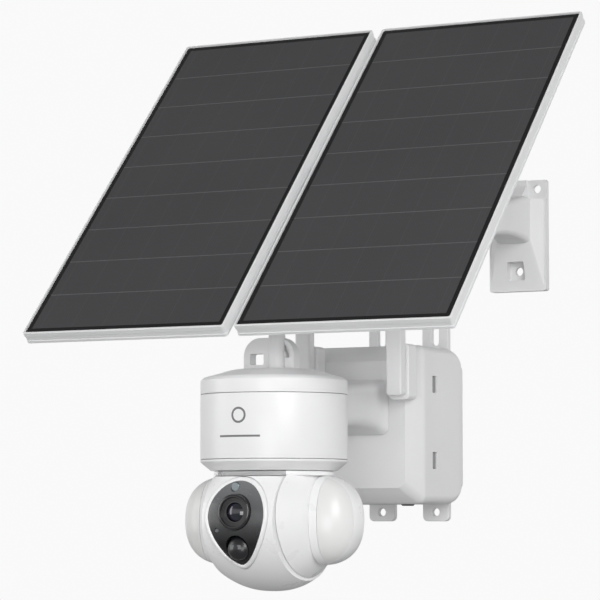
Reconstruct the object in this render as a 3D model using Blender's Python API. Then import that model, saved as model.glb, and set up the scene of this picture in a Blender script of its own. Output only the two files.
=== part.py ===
"""Solar-powered pan and tilt security camera with twin solar panels.

The lengths below are in millimetres. finish() turns each mesh into metres.
World frame: the wall is the plane Y = 0, the camera looks along -Y and +Z is up.
The origin is the middle of the battery box's back, on the wall.
"""
import math

import bmesh
import bpy
from mathutils import Matrix, Vector

# ---- Driving dimensions ------------------------------------------------------
MM = 0.001
GAP = 0.3

# Battery box, on the wall
BOX_HALF_W = 46.1
BOX_HALF_H = 59.3
BOX_FACE_HALF_W = 35.8
BOX_FACE_HALF_H = 47.4
BOX_BACK_HALF_H = 51.0
BOX_DEPTH = 85.6
BOX_WALL = 2.4
BACK_PLATE = 5.0
SEAL = 1.5
SEAL_RIM = 2.0
TAB_X = 23.0
TAB_HALF_W = 11.0
TAB_TOP = 86.0
TAB_BOTTOM = -72.0
TAB_HOLE_Z = -65.0
TAB_HOLE_R = 3.1
TAB_SLOT_LOW = 63.0
TAB_SLOT_HIGH = 79.0
LATCH_Y = -55.0
LATCH_Z = (30.4, -26.6)
LATCH_SIZE = (8.0, 12.5)
CELL_R = 10.6
CELL_LENGTH = 70.0
CELL_CAP = 1.5
CELL_X = (-14.0, 14.0)
CELL_Y = -22.0
BUTTON_X = 20.0
INLET_X = -20.0
UNDERSIDE_Y = -48.0
BUTTON_R = 5.0
INLET_R = 6.0

# Arm from the box to the camera
ARM_HALF_W = 22.5
ARM_HALF_H = 20.5
ARM_Z = 12.7
ARM_BORE_R = 7.0

# Camera can
CAN_Y = -224.0
CAN_R = 52.0
CAN_WALL = 2.5
CAN_TOP = 34.7
CAN_CAP_SEAM = 16.8
CAN_BASE_SEAM = -29.2
CAN_BASE = -36.9
CAN_FOOT_R = 44.5
HUB_R = 12.0
LUG_DEPTH = 9.0
HUB_OPENING_R = 14.5

# Turning and tilting head
AXIS_Z = -71.6
BALL_R = 49.0
NOSE_FRONT = 57.0
NOSE_EDGE_DROP = 3.0
BARREL_R = 49.5
BARREL_EDGE_DROP = 7.5
HEAD_HALF_W = 27.7
HEAD_FLAT = 30.4
HEAD_WALL = 2.2
HEAD_SPLIT_Y = 8.0
ARM_INNER_X = 28.3
ARM_OUTER_X = 40.0
CHEEK_STRETCH = 0.25
TRUNNION_R = 5.0
TRUNNION_INNER_X = 17.0
TRUNNION_OUTER_X = 39.7
POD_INNER_X = 40.4
POD_REACH = 27.0
POD_HALF_D = 25.0
POD_HALF_H = 31.0
POD_WALL = 2.0
DIFFUSER_INNER_X = 46.5
DIFFUSER_BACK_Y = -8.0
LENS_Z = 5.6
LENS_R = 12.3
PIR_Z = -19.0
PIR_R = 8.4
BEZEL_MARGIN = 2.0
FACE_CUT = (-300.0, -250.0)

# Gears: teeth, and module in millimetres
WHEEL_TEETH = 30
PINION_TEETH = 10
PAN_MODULE = 1.2
TILT_MODULE = 1.0
MESH_CLEARANCE = 0.3
PAN_GEAR_Z = (-27.6, -23.6)
TILT_GEAR_X = (-24.8, -21.3)

# Antennas
ANTENNA_X = 38.0
ANTENNA_PIVOT_Z = 26.4
ANTENNA_HALF_W = 6.2
ANTENNA_LENGTH = 109.6
ANTENNA_SHOE_Z = (17.5, 59.0)
ANTENNA_BACK_Y = -100.4
ANTENNA_FRONT_Y = -109.4

# Solar panels, in the panels' own plane
PANEL_Y = -173.7
PANEL_Z = 182.0
PANEL_LEAN = 44.0
PANEL_W = 164.6
PANEL_H = 336.7
PANEL_MIDDLE_GAP = 7.8
PANEL_DEPTH = 10.0
PANEL_LIP = 1.4
GLASS_DEPTH = 3.2
RAIL_DEPTH = 12.0
RAIL_HALF_H = 14.0

# Panel bracket, on the wall
BRACKET_X = 93.3
BRACKET_Z = 144.6
BRACKET_HALF_W = 23.2
BRACKET_HALF_H = 42.4
BRACKET_DEPTH = 15.0
BRACKET_WEB = 3.5
STRUT_Z = 157.0
PIVOT_BEHIND_PANEL = 38.0
PIVOT_BORE_R = 3.3

# ---- Basic tools -------------------------------------------------------------


def make_material(name, colour, roughness, metallic=0.0):
    material = bpy.data.materials.new(name)
    material.use_nodes = True
    shader = material.node_tree.nodes["Principled BSDF"]
    shader.inputs["Base Color"].default_value = (*colour, 1.0)
    shader.inputs["Roughness"].default_value = roughness
    shader.inputs["Metallic"].default_value = metallic
    return material


def finish(name, bm, look, origin=(0.0, 0.0, 0.0), lean=None):
    """Make an object in metres; lean turns a mesh drawn about its origin back about X."""
    bmesh.ops.recalc_face_normals(bm, faces=bm.faces[:])
    if lean is None:
        bmesh.ops.translate(bm, verts=bm.verts[:], vec=-Vector(origin))
    bmesh.ops.scale(bm, verts=bm.verts[:], vec=(MM, MM, MM))
    mesh = bpy.data.meshes.new(name)
    bm.to_mesh(mesh)
    bm.free()
    mesh.materials.append(make_material(name, *look))
    mesh.shade_smooth()
    mesh.set_sharp_from_angle(angle=math.radians(35.0))
    obj = bpy.data.objects.new(name, mesh)
    obj.location = Vector(origin) * MM
    if lean is not None:
        obj.rotation_euler = (math.radians(90.0 - lean), 0.0, 0.0)
    bpy.context.collection.objects.link(obj)
    return obj


def boolean(obj, operation, bm, lean=None):
    """Cut or join obj with a hidden guide shape."""
    origin = (0.0, 0.0, 0.0) if lean is None else (0.0, PANEL_Y, PANEL_Z)
    index = len(obj.modifiers)
    guide = finish(f"guide_{obj.name}_{index}", bm, WHITE, origin, lean)
    guide.hide_render = True
    guide.display_type = "WIRE"
    modifier = obj.modifiers.new(f"{operation.lower()}_{index}", "BOOLEAN")
    modifier.operation = operation
    modifier.object = guide
    modifier.solver = "EXACT"


def join_rings(bm, first, second):
    count = max(len(first), len(second))
    if count == 1:
        return
    for k in range(count):
        following = (k + 1) % count
        corners = [first[k % len(first)], first[following % len(first)]]
        corners += [second[following % len(second)], second[k % len(second)]]
        bm.faces.new(list(dict.fromkeys(corners)))


def circle(radius, height, segments):
    angles = [math.tau * k / segments for k in range(segments)]
    return [(radius * math.cos(a), radius * math.sin(a), height) for a in angles]


def lathe(profile, centre=(0.0, 0.0, 0.0), axis="Z", segments=28):
    """Spin a closed (radius, height) outline about an axis through centre."""
    bm = bmesh.new()
    rings = []
    for radius, height in profile:
        points = circle(radius, height, segments) if radius > 0.0 else [(0.0, 0.0, height)]
        rings.append([bm.verts.new(point) for point in points])
    for ring, following in zip(rings, rings[1:] + rings[:1]):
        join_rings(bm, ring, following)
    turns = {"Z": Matrix()}
    turns["X"] = Matrix.Rotation(math.pi / 2, 4, "Y")
    turns["Y"] = Matrix.Rotation(-math.pi / 2, 4, "X")
    bmesh.ops.transform(bm, matrix=Matrix.Translation(centre) @ turns[axis], verts=bm.verts[:])
    return bm


def rod(radius, low, high, centre=(0.0, 0.0, 0.0), axis="Z", segments=20):
    return lathe([(0.0, low), (radius, low), (radius, high), (0.0, high)], centre, axis, segments)


def tube(outer, inner, low, high, centre=(0.0, 0.0, 0.0), axis="Z", segments=28):
    profile = [(inner, low), (outer, low), (outer, high), (inner, high)]
    return lathe(profile, centre, axis, segments)


def loft(rings):
    """Skin closed rings of equal count, with a flat cap on the first and the last."""
    bm = bmesh.new()
    made = [[bm.verts.new(point) for point in ring] for ring in rings]
    for first, second in zip(made, made[1:]):
        join_rings(bm, first, second)
    bm.faces.new(made[0])
    bm.faces.new(made[-1])
    return bm


def rounded_rectangle(half_a, half_b, radius, steps=3):
    """Corner points of a rounded rectangle about the origin, as (a, b)."""
    points = []
    corners = [(1, 1, 0.0), (-1, 1, 90.0), (-1, -1, 180.0), (1, -1, 270.0)]
    for sign_a, sign_b, start in corners:
        for k in range(steps + 1):
            angle = math.radians(start + 90.0 * k / steps)
            a = sign_a * (half_a - radius) + radius * math.cos(angle)
            b = sign_b * (half_b - radius) + radius * math.sin(angle)
            points.append((a, b))
    return points


def prism(outline, low, high, axis):
    """Extrude an (a, b) outline; a and b are the other two axes in X, Y, Z order."""
    order = {"X": lambda a, b, h: (h, a, b), "Y": lambda a, b, h: (a, h, b), "Z": lambda a, b, h: (a, b, h)}
    place = order[axis]
    return loft([[place(a, b, low) for a, b in outline], [place(a, b, high) for a, b in outline]])


def block(low, high, bevel=0.0):
    bm = bmesh.new()
    bmesh.ops.create_cube(bm, size=1.0)
    size = Vector(high) - Vector(low)
    middle = (Vector(high) + Vector(low)) / 2
    bmesh.ops.scale(bm, vec=size, verts=bm.verts[:])
    bmesh.ops.translate(bm, vec=middle, verts=bm.verts[:])
    if bevel:
        bmesh.ops.bevel(bm, geom=bm.edges[:], offset=bevel, segments=2, affect="EDGES", profile=0.5)
    return bm


def gear(teeth, module, bore, low, high, centre, axis, first_tooth):
    """Spur gear with tapered teeth; first_tooth is the angle of one tooth's middle."""
    root = module * (teeth - 2.5) / 2
    tip = module * (teeth + 1.8) / 2
    pitch = math.tau / teeth
    shape = [(-0.27, root), (-0.10, tip), (0.10, tip), (0.27, root)]
    outer = []
    inner = []
    for tooth in range(teeth):
        for offset, radius in shape:
            angle = first_tooth + pitch * (tooth + offset)
            outer.append((radius * math.cos(angle), radius * math.sin(angle)))
            inner.append((bore * math.cos(angle), bore * math.sin(angle)))
    bm = bmesh.new()
    rings = []
    for outline, height in ((inner, low), (outer, low), (outer, high), (inner, high)):
        rings.append([bm.verts.new((a, b, height)) for a, b in outline])
    for ring, following in zip(rings, rings[1:] + rings[:1]):
        join_rings(bm, ring, following)
    if axis == "X":
        turn = Matrix(((0, 0, 1, 0), (1, 0, 0, 0), (0, 1, 0, 0), (0, 0, 0, 1)))
        bmesh.ops.transform(bm, matrix=turn, verts=bm.verts[:])
    bmesh.ops.translate(bm, vec=centre, verts=bm.verts[:])
    return bm


def pivot(name, point, parent=None):
    """An empty on a joint's axis; its children keep their world places."""
    empty = bpy.data.objects.new(name, None)
    empty.empty_display_size = 20 * MM
    bpy.context.collection.objects.link(empty)
    PIVOT_POINTS[name] = Vector(point) * MM
    empty.location = Vector(point) * MM
    if parent:
        hang(empty, parent)
    return empty


def hang(obj, parent):
    obj.parent = parent
    obj.matrix_parent_inverse = Matrix.Translation(-PIVOT_POINTS[parent.name])


PIVOT_POINTS = {}
WHITE = ((0.82, 0.82, 0.83), 0.42)
GREY = ((0.30, 0.31, 0.32), 0.5)
BLACK = ((0.02, 0.02, 0.022), 0.25)
RUBBER = ((0.04, 0.04, 0.04), 0.85)
STEEL = ((0.60, 0.60, 0.62), 0.30, 1.0)
ALUMINIUM = ((0.80, 0.81, 0.83), 0.32, 1.0)
BOARD = ((0.03, 0.17, 0.08), 0.5)
CELL = ((0.10, 0.22, 0.42), 0.45)
GLASS = ((0.03, 0.03, 0.035), 0.08)
FROST = ((0.86, 0.86, 0.84), 0.35)

# ---- Battery box -------------------------------------------------------------


def box_sections(inset, back_y):
    """Rounded cross-sections of the box from its back to its front face."""
    stations = [(back_y, BOX_HALF_W, BOX_BACK_HALF_H), (-12.0, BOX_HALF_W, 56.2)]
    stations += [(-26.0, BOX_HALF_W, BOX_HALF_H), (-73.0, BOX_HALF_W, BOX_HALF_H)]
    for degrees in (30.0, 60.0, 90.0):
        angle = math.radians(degrees)
        y = -73.0 - (BOX_DEPTH - 73.0 - inset) * math.sin(angle)
        half_w = BOX_FACE_HALF_W + (BOX_HALF_W - BOX_FACE_HALF_W) * math.cos(angle)
        half_h = BOX_FACE_HALF_H + (BOX_HALF_H - BOX_FACE_HALF_H) * math.cos(angle)
        stations.append((y, half_w, half_h))
    rings = []
    for y, half_w, half_h in stations:
        outline = rounded_rectangle(half_w - inset, half_h - inset, 5.0 - inset / 2)
        rings.append([(a, y, b) for a, b in outline])
    return rings


def back_plate_outline():
    """Back plate with two tabs above it and two below it."""
    points = []
    sides = [(-1, TAB_BOTTOM, -1), (1, TAB_TOP, 1)]
    for direction, tab_end, edge_sign in sides:
        edge = edge_sign * (BOX_BACK_HALF_H - 4.0)
        body_x = BOX_HALF_W - 2.0
        points.append((direction * body_x, edge))
        for tab in (1, -1):
            centre = direction * tab * TAB_X
            near = centre + direction * TAB_HALF_W
            far = centre - direction * TAB_HALF_W
            corner = 4.0
            points.append((near, edge))
            points.append((near, tab_end - edge_sign * corner))
            points.append((near - direction * corner, tab_end))
            points.append((far + direction * corner, tab_end))
            points.append((far, tab_end - edge_sign * corner))
            points.append((far, edge))
        points.append((-direction * body_x, edge))
    return points


def build_box():
    plate = finish("box_back_plate", prism(back_plate_outline(), 0.0, -BACK_PLATE, "Y"), WHITE)
    for x in (-TAB_X, TAB_X):
        boolean(plate, "DIFFERENCE", rod(TAB_HOLE_R, -BACK_PLATE - 1, 1, (x, 0, TAB_HOLE_Z), "Y", 16))
        slot = block((x - TAB_HOLE_R, -BACK_PLATE - 1, TAB_SLOT_LOW), (x + TAB_HOLE_R, 1, TAB_SLOT_HIGH))
        boolean(plate, "DIFFERENCE", slot)

    seal_y = -BACK_PLATE - GAP
    housing_y = seal_y - SEAL - GAP
    edge_h = BOX_BACK_HALF_H - 5.0
    edge_w = BOX_HALF_W - 3.0
    sheet = prism(rounded_rectangle(edge_w, edge_h, 4.0, 2), seal_y, seal_y - SEAL, "Y")
    seal = finish("box_seal", sheet, RUBBER)
    opening = block((SEAL_RIM - edge_w, -10, SEAL_RIM - edge_h), (edge_w - SEAL_RIM, 0, edge_h - SEAL_RIM))
    boolean(seal, "DIFFERENCE", opening)

    housing = finish("box_housing", loft(box_sections(0.0, housing_y)), WHITE)
    boolean(housing, "DIFFERENCE", loft(box_sections(BOX_WALL, housing_y + 2.0)))
    for side in (-1, 1):
        for z in LATCH_Z:
            half_y = LATCH_SIZE[0] / 2
            half_z = LATCH_SIZE[1] / 2
            x_low = min(side * (BOX_HALF_W - 4.0), side * (BOX_HALF_W + 2.0))
            low = (x_low, LATCH_Y - half_y, z - half_z)
            boolean(housing, "DIFFERENCE", block(low, (x_low + 6.0, LATCH_Y + half_y, z + half_z)))
    boolean(housing, "DIFFERENCE", rod(ARM_BORE_R, -90, -80, (0, 0, ARM_Z), "Y", 16))
    for x, radius in ((BUTTON_X, BUTTON_R), (INLET_X, INLET_R)):
        hole = rod(radius + GAP, -BOX_HALF_H - 2, -BOX_HALF_H + 6, (x, UNDERSIDE_Y, 0), "Z", 16)
        boolean(housing, "DIFFERENCE", hole)
    inlet = [(2.0, -59.0), (INLET_R, -59.0), (INLET_R, -56.5)]
    inlet += [(8.0, -56.0), (8.0, -53.0), (2.0, -53.0)]
    finish("charge_inlet", lathe(inlet, (INLET_X, UNDERSIDE_Y, 0), "Z", 16), BLACK)
    for side, label in ((-1, "left"), (1, "right")):
        build_latch_strip(side, label)


def build_latch_strip(side, label):
    """Spring strip from the back plate whose two hooks catch in the side windows."""
    inner = side * (BOX_HALF_W - BOX_WALL - 2.0)
    outer = side * (BOX_HALF_W - BOX_WALL - GAP)
    low_x, high_x = min(inner, outer), max(inner, outer)
    strip = finish(f"latch_strip_{label}", block((low_x, -60.0, -36.0), (high_x, -7.8, 40.0)), GREY)
    boolean(strip, "DIFFERENCE", block((low_x - 1, -70.0, -14.0), (high_x + 1, -20.0, 18.0)))
    for z in LATCH_Z:
        hook_end = side * (BOX_HALF_W - 1.2)
        low_h, high_h = min(inner, hook_end), max(inner, hook_end)
        boolean(strip, "UNION", block((low_h, LATCH_Y - 3.4, z - 5.6), (high_h, LATCH_Y + 3.4, z + 5.6)))


def build_electronics():
    half = CELL_LENGTH / 2
    for number, x in enumerate(CELL_X, 1):
        profile = [(0.0, -half), (CELL_R, -half), (CELL_R, half - CELL_CAP)]
        profile += [(3.0, half - CELL_CAP), (3.0, half), (0.0, half)]
        finish(f"battery_cell_{number}", lathe(profile, (x, CELL_Y, -2.0), "Z", 16), CELL)
    holder = finish("battery_holder", block((-28.0, -34.5, -42.0), (28.0, -8.5, 38.0)), BLACK)
    boolean(holder, "DIFFERENCE", block((-26.0, -40.0, -38.0), (26.0, -10.5, 34.0)))
    finish("charge_board", block((-38.0, -44.6, -44.0), (38.0, -43.0, 48.0)), BOARD)
    button = [(0.0, -60.4), (BUTTON_R - 0.8, -60.4), (BUTTON_R, -59.6), (BUTTON_R, -56.2), (7.0, -56.2)]
    button += [(7.0, -54.8), (0.0, -54.8)]
    origin = (BUTTON_X, UNDERSIDE_Y, -BOX_HALF_H)
    finish("power_button", lathe(button, (BUTTON_X, UNDERSIDE_Y, 0), "Z", 16), RUBBER, origin)


# ---- Arm and can -------------------------------------------------------------


def build_arm():
    rings = []
    stations = [(-BOX_DEPTH - GAP, ARM_HALF_W, ARM_HALF_H, ARM_Z), (-96.0, 20.5, 18.0, 13.5)]
    stations += [(-112.0, 19.0, 16.0, 13.5), (-160.0, 21.0, 15.0, 11.0), (-182.0, 24.0, 15.5, 9.0)]
    for y, half_w, half_h, z in stations:
        rings.append([(a, y, z + b) for a, b in rounded_rectangle(half_w, half_h, 7.0)])
    arm = finish("camera_arm", loft(rings), WHITE)
    boolean(arm, "DIFFERENCE", rod(CAN_R + GAP, -60, 60, (0, CAN_Y, 0), "Z", 40))
    boolean(arm, "DIFFERENCE", rod(ARM_BORE_R, -200, -80, (0, 0, ARM_Z), "Y", 16))


def build_can():
    axis = (0.0, CAN_Y, 0.0)
    wall = tube(CAN_R, CAN_R - CAN_WALL, CAN_BASE_SEAM + GAP, CAN_CAP_SEAM - GAP, axis, "Z", 32)
    shell = finish("can_shell", wall, WHITE)
    boolean(shell, "DIFFERENCE", rod(ARM_BORE_R, -190, -160, (0, 0, 8.0), "Y", 16))
    inner = CAN_R - CAN_WALL
    cap = [(CAN_R, CAN_CAP_SEAM), (CAN_R, 26.6), (49.5, 28.8), (41.0, 31.2), (33.0, 33.6), (26.0, CAN_TOP)]
    cap += [(0.0, CAN_TOP), (0.0, CAN_TOP - 2.6), (26.0, CAN_TOP - 2.6), (40.0, 28.8)]
    cap += [(inner, 25.5), (inner, CAN_CAP_SEAM)]
    finish("can_cap", lathe(cap, axis, "Z", 32), WHITE)
    base = [(CAN_R, CAN_BASE_SEAM), (CAN_R, -30.6), (CAN_FOOT_R, CAN_BASE), (HUB_OPENING_R, CAN_BASE)]
    base += [(HUB_OPENING_R, -33.6), (43.5, -33.6), (inner, CAN_BASE_SEAM)]
    finish("can_base", lathe(base, axis, "Z", 32), WHITE)
    bearing = [(HUB_R + GAP, -33.3), (19.0, -33.3), (19.0, -28.4), (HUB_R + GAP, -28.4)]
    finish("pan_bearing", lathe(bearing, axis, "Z", 24), STEEL)
    finish("main_board", tube(44.0, 4.0, 8.0, 9.6, axis, "Z", 24), BOARD)

    build_top_knuckle()
    motor_y = CAN_Y + PAN_MODULE * (WHEEL_TEETH + PINION_TEETH) / 2 + MESH_CLEARANCE
    motor = [(0.0, -2.0), (0.0, -21.0), (4.5, -21.0), (4.5, -19.0), (14.0, -19.0), (14.0, -2.0)]
    finish("pan_motor", lathe(motor, (0, motor_y, 0), "Z", 20), STEEL)


def build_top_knuckle():
    """Arched lug with a window, and the stud that clamps it to the cap."""
    arch = [(-22.0, CAN_TOP + GAP), (-22.0, 44.5)]
    for k in range(1, 6):
        angle = math.pi / 2 * k / 6
        arch.append((-9.0 - 13.0 * math.cos(angle), 44.5 + 13.0 * math.sin(angle)))
    for k in range(1, 6):
        angle = math.pi / 2 * (1 - k / 6)
        arch.append((5.0 + 13.0 * math.cos(angle), 44.5 + 13.0 * math.sin(angle)))
    arch += [(18.0, 44.5), (18.0, CAN_TOP + GAP)]
    half_y = LUG_DEPTH / 2
    lug = finish("top_lug", prism(arch, CAN_Y - half_y, CAN_Y + half_y, "Y"), WHITE)
    boolean(lug, "DIFFERENCE", block((-17.0, CAN_Y - 20, 38.0), (-6.0, CAN_Y + 20, 46.0)))
    stud_at = (4.5, CAN_Y - 4.0, 0)
    boolean(lug, "DIFFERENCE", rod(6.3, 30.0, 60.0, stud_at, "Z", 16))
    stud = [(0.0, CAN_TOP + GAP), (6.0, CAN_TOP + GAP), (6.0, 58.4), (4.5, 59.6), (0.0, 59.6)]
    finish("top_lug_stud", lathe(stud, stud_at, "Z", 16), WHITE)


# ---- Head --------------------------------------------------------------------


def head_section(x, inset):
    """Side outline of the tilting barrel at one X, as (y, z) about the tilt axis."""
    share = min(abs(x) / HEAD_HALF_W, 1.0)
    front = NOSE_FRONT - NOSE_EDGE_DROP * share ** 2 - inset
    radius = BARREL_R - BARREL_EDGE_DROP * share ** 2.4 - inset
    flat = HEAD_FLAT - inset
    points = []
    first = math.acos(flat / radius)
    for k in range(13):
        angle = first + (math.pi - first) * k / 12
        points.append((-front * math.sin(angle), radius * math.cos(angle)))
    last = math.asin(flat / radius)
    for k in range(1, 5):
        angle = last * k / 4
        points.append((radius * math.sin(angle), -radius * math.cos(angle)))
    for k in range(5):
        angle = math.pi / 2 * k / 4
        points.append((flat * math.cos(angle), flat * math.sin(angle)))
    return points


def head_solid(inset):
    half = HEAD_HALF_W - inset
    stations = [-1.0, -0.9, -0.72, -0.4, 0.0, 0.4, 0.72, 0.9, 1.0]
    rings = []
    for share in stations:
        x = share * half
        rings.append([(x, CAN_Y + y, AXIS_Z + z) for y, z in head_section(x, inset)])
    return loft(rings)


def egg_radius(angle):
    """Face outline about the lens axis: round above, narrowing to a point below."""
    across, up = math.cos(angle), math.sin(angle)
    half_w = 22.6
    half_h = 25.6 if up > 0.0 else 34.0
    power = 2.0 if up > 0.0 else 1.55
    total = (abs(across) / half_w) ** power + (abs(up) / half_h) ** power
    return total ** (-1.0 / power)


def egg_outline(margin, segments=28):
    points = []
    for k in range(segments):
        angle = math.tau * (k + 0.5) / segments
        radius = egg_radius(angle) + margin
        points.append((radius * math.cos(angle), radius * math.sin(angle)))
    return points


def nose_y(x, z, lift):
    """World Y of the nose surface, lift millimetres in front of it."""
    share = min(abs(x) / HEAD_HALF_W, 1.0)
    front = NOSE_FRONT - NOSE_EDGE_DROP * share ** 2
    radius = BARREL_R - BARREL_EDGE_DROP * share ** 2.4
    return CAN_Y - front * math.sqrt(max(0.0, 1.0 - (z / radius) ** 2)) - lift


def face_ring(margin, lift, shrink=1.0):
    centre_z = 2.5
    points = []
    for a, b in egg_outline(margin):
        x, z = a * shrink, centre_z + b * shrink
        points.append((x, nose_y(x, z, lift), AXIS_Z + z))
    return points


def build_face():
    rings = [face_ring(BEZEL_MARGIN, -2.0), face_ring(BEZEL_MARGIN, 0.8), face_ring(1.3, 1.6)]
    rings += [face_ring(GAP, 0.8), face_ring(GAP, -2.0)]
    bm = bmesh.new()
    made = [[bm.verts.new(point) for point in ring] for ring in rings]
    for first, second in zip(made, made[1:] + made[:1]):
        join_rings(bm, first, second)
    finish("face_bezel", bm, WHITE)

    bm = bmesh.new()
    rings = [face_ring(0.0, 0.6, 0.33), face_ring(0.0, 0.6, 0.66), face_ring(0.0, 0.6)]
    rings += [face_ring(0.0, -1.6), face_ring(0.0, -1.6, 0.66), face_ring(0.0, -1.6, 0.33)]
    made = [[bm.verts.new(point) for point in ring] for ring in rings]
    for first, second in zip(made, made[1:]):
        join_rings(bm, first, second)
    for ring, lift in ((made[0], 0.6), (made[-1], -1.6)):
        middle = bm.verts.new((0.0, nose_y(0.0, 2.5, lift), AXIS_Z + 2.5))
        join_rings(bm, [middle], ring)
    plate = finish("face_plate", bm, BLACK)
    boolean(plate, "DIFFERENCE", rod(LENS_R + GAP, *FACE_CUT, (0, 0, AXIS_Z + LENS_Z), "Y", 24))
    boolean(plate, "DIFFERENCE", rod(PIR_R + GAP, *FACE_CUT, (0, 0, AXIS_Z + PIR_Z), "Y", 20))
    for name, x, z, radius in (("light_sensor", -3.0, 23.0, 3.0), ("status_light", -14.5, -7.0, 1.5)):
        boolean(plate, "DIFFERENCE", rod(radius + GAP, *FACE_CUT, (x, 0, AXIS_Z + z), "Y", 12))
        face_y = nose_y(x, z, 0.0)
        finish(name, rod(radius, face_y - 0.8, face_y + 3.0, (x, 0, AXIS_Z + z), "Y", 12), GLASS)

    front = CAN_Y - NOSE_FRONT
    at = (0, 0, AXIS_Z + LENS_Z)
    barrel = [(6.6, front - 0.6), (10.5, front - 2.6), (LENS_R, front - 2.0), (LENS_R, front + 5.0)]
    barrel += [(9.5, front + 5.0), (9.5, front + 26.0), (6.6, front + 26.0)]
    finish("lens_barrel", lathe(barrel, at, "Y", 24), BLACK)
    glass = [(0.0, front - 0.2), (3.5, front + 0.2), (6.2, front + 1.6)]
    glass += [(6.2, front + 3.6), (0.0, front + 3.6)]
    finish("lens_glass", lathe(glass, at, "Y", 20), GLASS)
    board = block((-19.0, front + 26.5, AXIS_Z - 19.0), (19.0, front + 28.1, AXIS_Z + 24.0))
    finish("camera_board", board, BOARD)
    pir_front = nose_y(0.0, PIR_Z, 0.0)
    dome = [(0.0, pir_front - 3.2), (4.5, pir_front - 2.2), (PIR_R, pir_front + 1.6)]
    dome += [(PIR_R, pir_front + 6.0), (6.9, pir_front + 6.0), (6.9, pir_front + 2.0), (0.0, pir_front - 1.2)]
    finish("motion_sensor_dome", lathe(dome, (0, 0, AXIS_Z + PIR_Z), "Y", 20), GLASS)


def build_head():
    for name in ("head_front_shell", "head_rear_shell"):
        shell = finish(name, head_solid(0.0), WHITE)
        boolean(shell, "DIFFERENCE", head_solid(HEAD_WALL))
        if name == "head_front_shell":
            half_space = block((-80, CAN_Y + HEAD_SPLIT_Y, -200), (80, CAN_Y + 100, 50))
            hole = [(a, AXIS_Z + 2.5 + b) for a, b in egg_outline(2.3)]
            boolean(shell, "DIFFERENCE", prism(hole, CAN_Y - 80, CAN_Y - 15, "Y"))
            boolean(shell, "DIFFERENCE", rod(TRUNNION_R + 0.4, -40, 40, (0, CAN_Y, AXIS_Z), "X", 20))
        else:
            half_space = block((-80, CAN_Y - 100, -200), (80, CAN_Y + HEAD_SPLIT_Y + GAP, 50))
        boolean(shell, "DIFFERENCE", half_space)


def reach_forward(co):
    """Stretch the front half of a cheek towards the nose, most at its inner edge."""
    forward = CAN_Y - co.y
    inward = (ARM_OUTER_X - abs(co.x)) / (ARM_OUTER_X - ARM_INNER_X)
    if forward > TRUNNION_R + 1.0:
        stretch = CHEEK_STRETCH + 0.0035 * (co.z - AXIS_Z)
        co.y = CAN_Y - forward * (1.0 + stretch * (0.35 + 0.65 * inward))


def build_yoke():
    axis = (0.0, CAN_Y, 0.0)
    disc = [(5.0, -40.4), (42.0, -40.4), (42.5, -38.8), (42.0, -37.3)]
    disc += [(HUB_R, -37.3), (HUB_R, -20.0), (5.0, -20.0)]
    yoke = finish("yoke", lathe(disc, axis, "Z", 32), WHITE)
    boolean(yoke, "DIFFERENCE", block((-27.0, CAN_Y - 60, -41.5), (27.0, CAN_Y - 27, -36.8)))
    for side in (-1, 1):
        radii = [(TRUNNION_R + GAP, ARM_INNER_X)]
        for k in range(5):
            x = ARM_INNER_X + (ARM_OUTER_X - ARM_INNER_X) * k / 4
            radii.append((math.sqrt(BALL_R ** 2 - x ** 2), x))
        radii.append((TRUNNION_R + GAP, ARM_OUTER_X))
        cheek = lathe([(r, side * x) for r, x in radii], (0, CAN_Y, AXIS_Z), "X", 32)
        for vert in cheek.verts:
            reach_forward(vert.co)
        cut = bmesh.ops.bisect_plane(cheek, geom=cheek.verts[:] + cheek.edges[:] + cheek.faces[:],
                                     plane_co=(0, 0, -39.4), plane_no=(0, 0, 1), clear_outer=True)
        rim = [item for item in cut["geom_cut"] if isinstance(item, bmesh.types.BMEdge)]
        bmesh.ops.holes_fill(cheek, edges=rim, sides=0)
        boolean(yoke, "UNION", cheek)
        label = "left" if side < 0 else "right"
        ends = sorted((side * TRUNNION_INNER_X, side * TRUNNION_OUTER_X))
        finish(f"trunnion_{label}", rod(TRUNNION_R, *ends, (0, CAN_Y, AXIS_Z), "X", 20), STEEL)


def pod_solid(side, inset):
    """One lamp pod: superelliptic rings that shrink outwards."""
    rings = []
    for k in range(7):
        angle = math.pi / 2 * k / 7
        x = POD_INNER_X + inset + (POD_REACH - 2 * inset) * math.sin(angle)
        shrink = math.cos(angle) ** 0.8
        ring = []
        for step in range(20):
            turn = math.tau * (step + 0.5) / 20
            across, up = math.cos(turn), math.sin(turn)
            y = math.copysign(abs(across) ** 0.8, across) * (POD_HALF_D - inset) * shrink
            z = math.copysign(abs(up) ** 0.9, up) * (POD_HALF_H - inset) * shrink
            ring.append((side * x, CAN_Y + y, AXIS_Z + z))
        rings.append(ring)
    return loft(rings)


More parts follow.
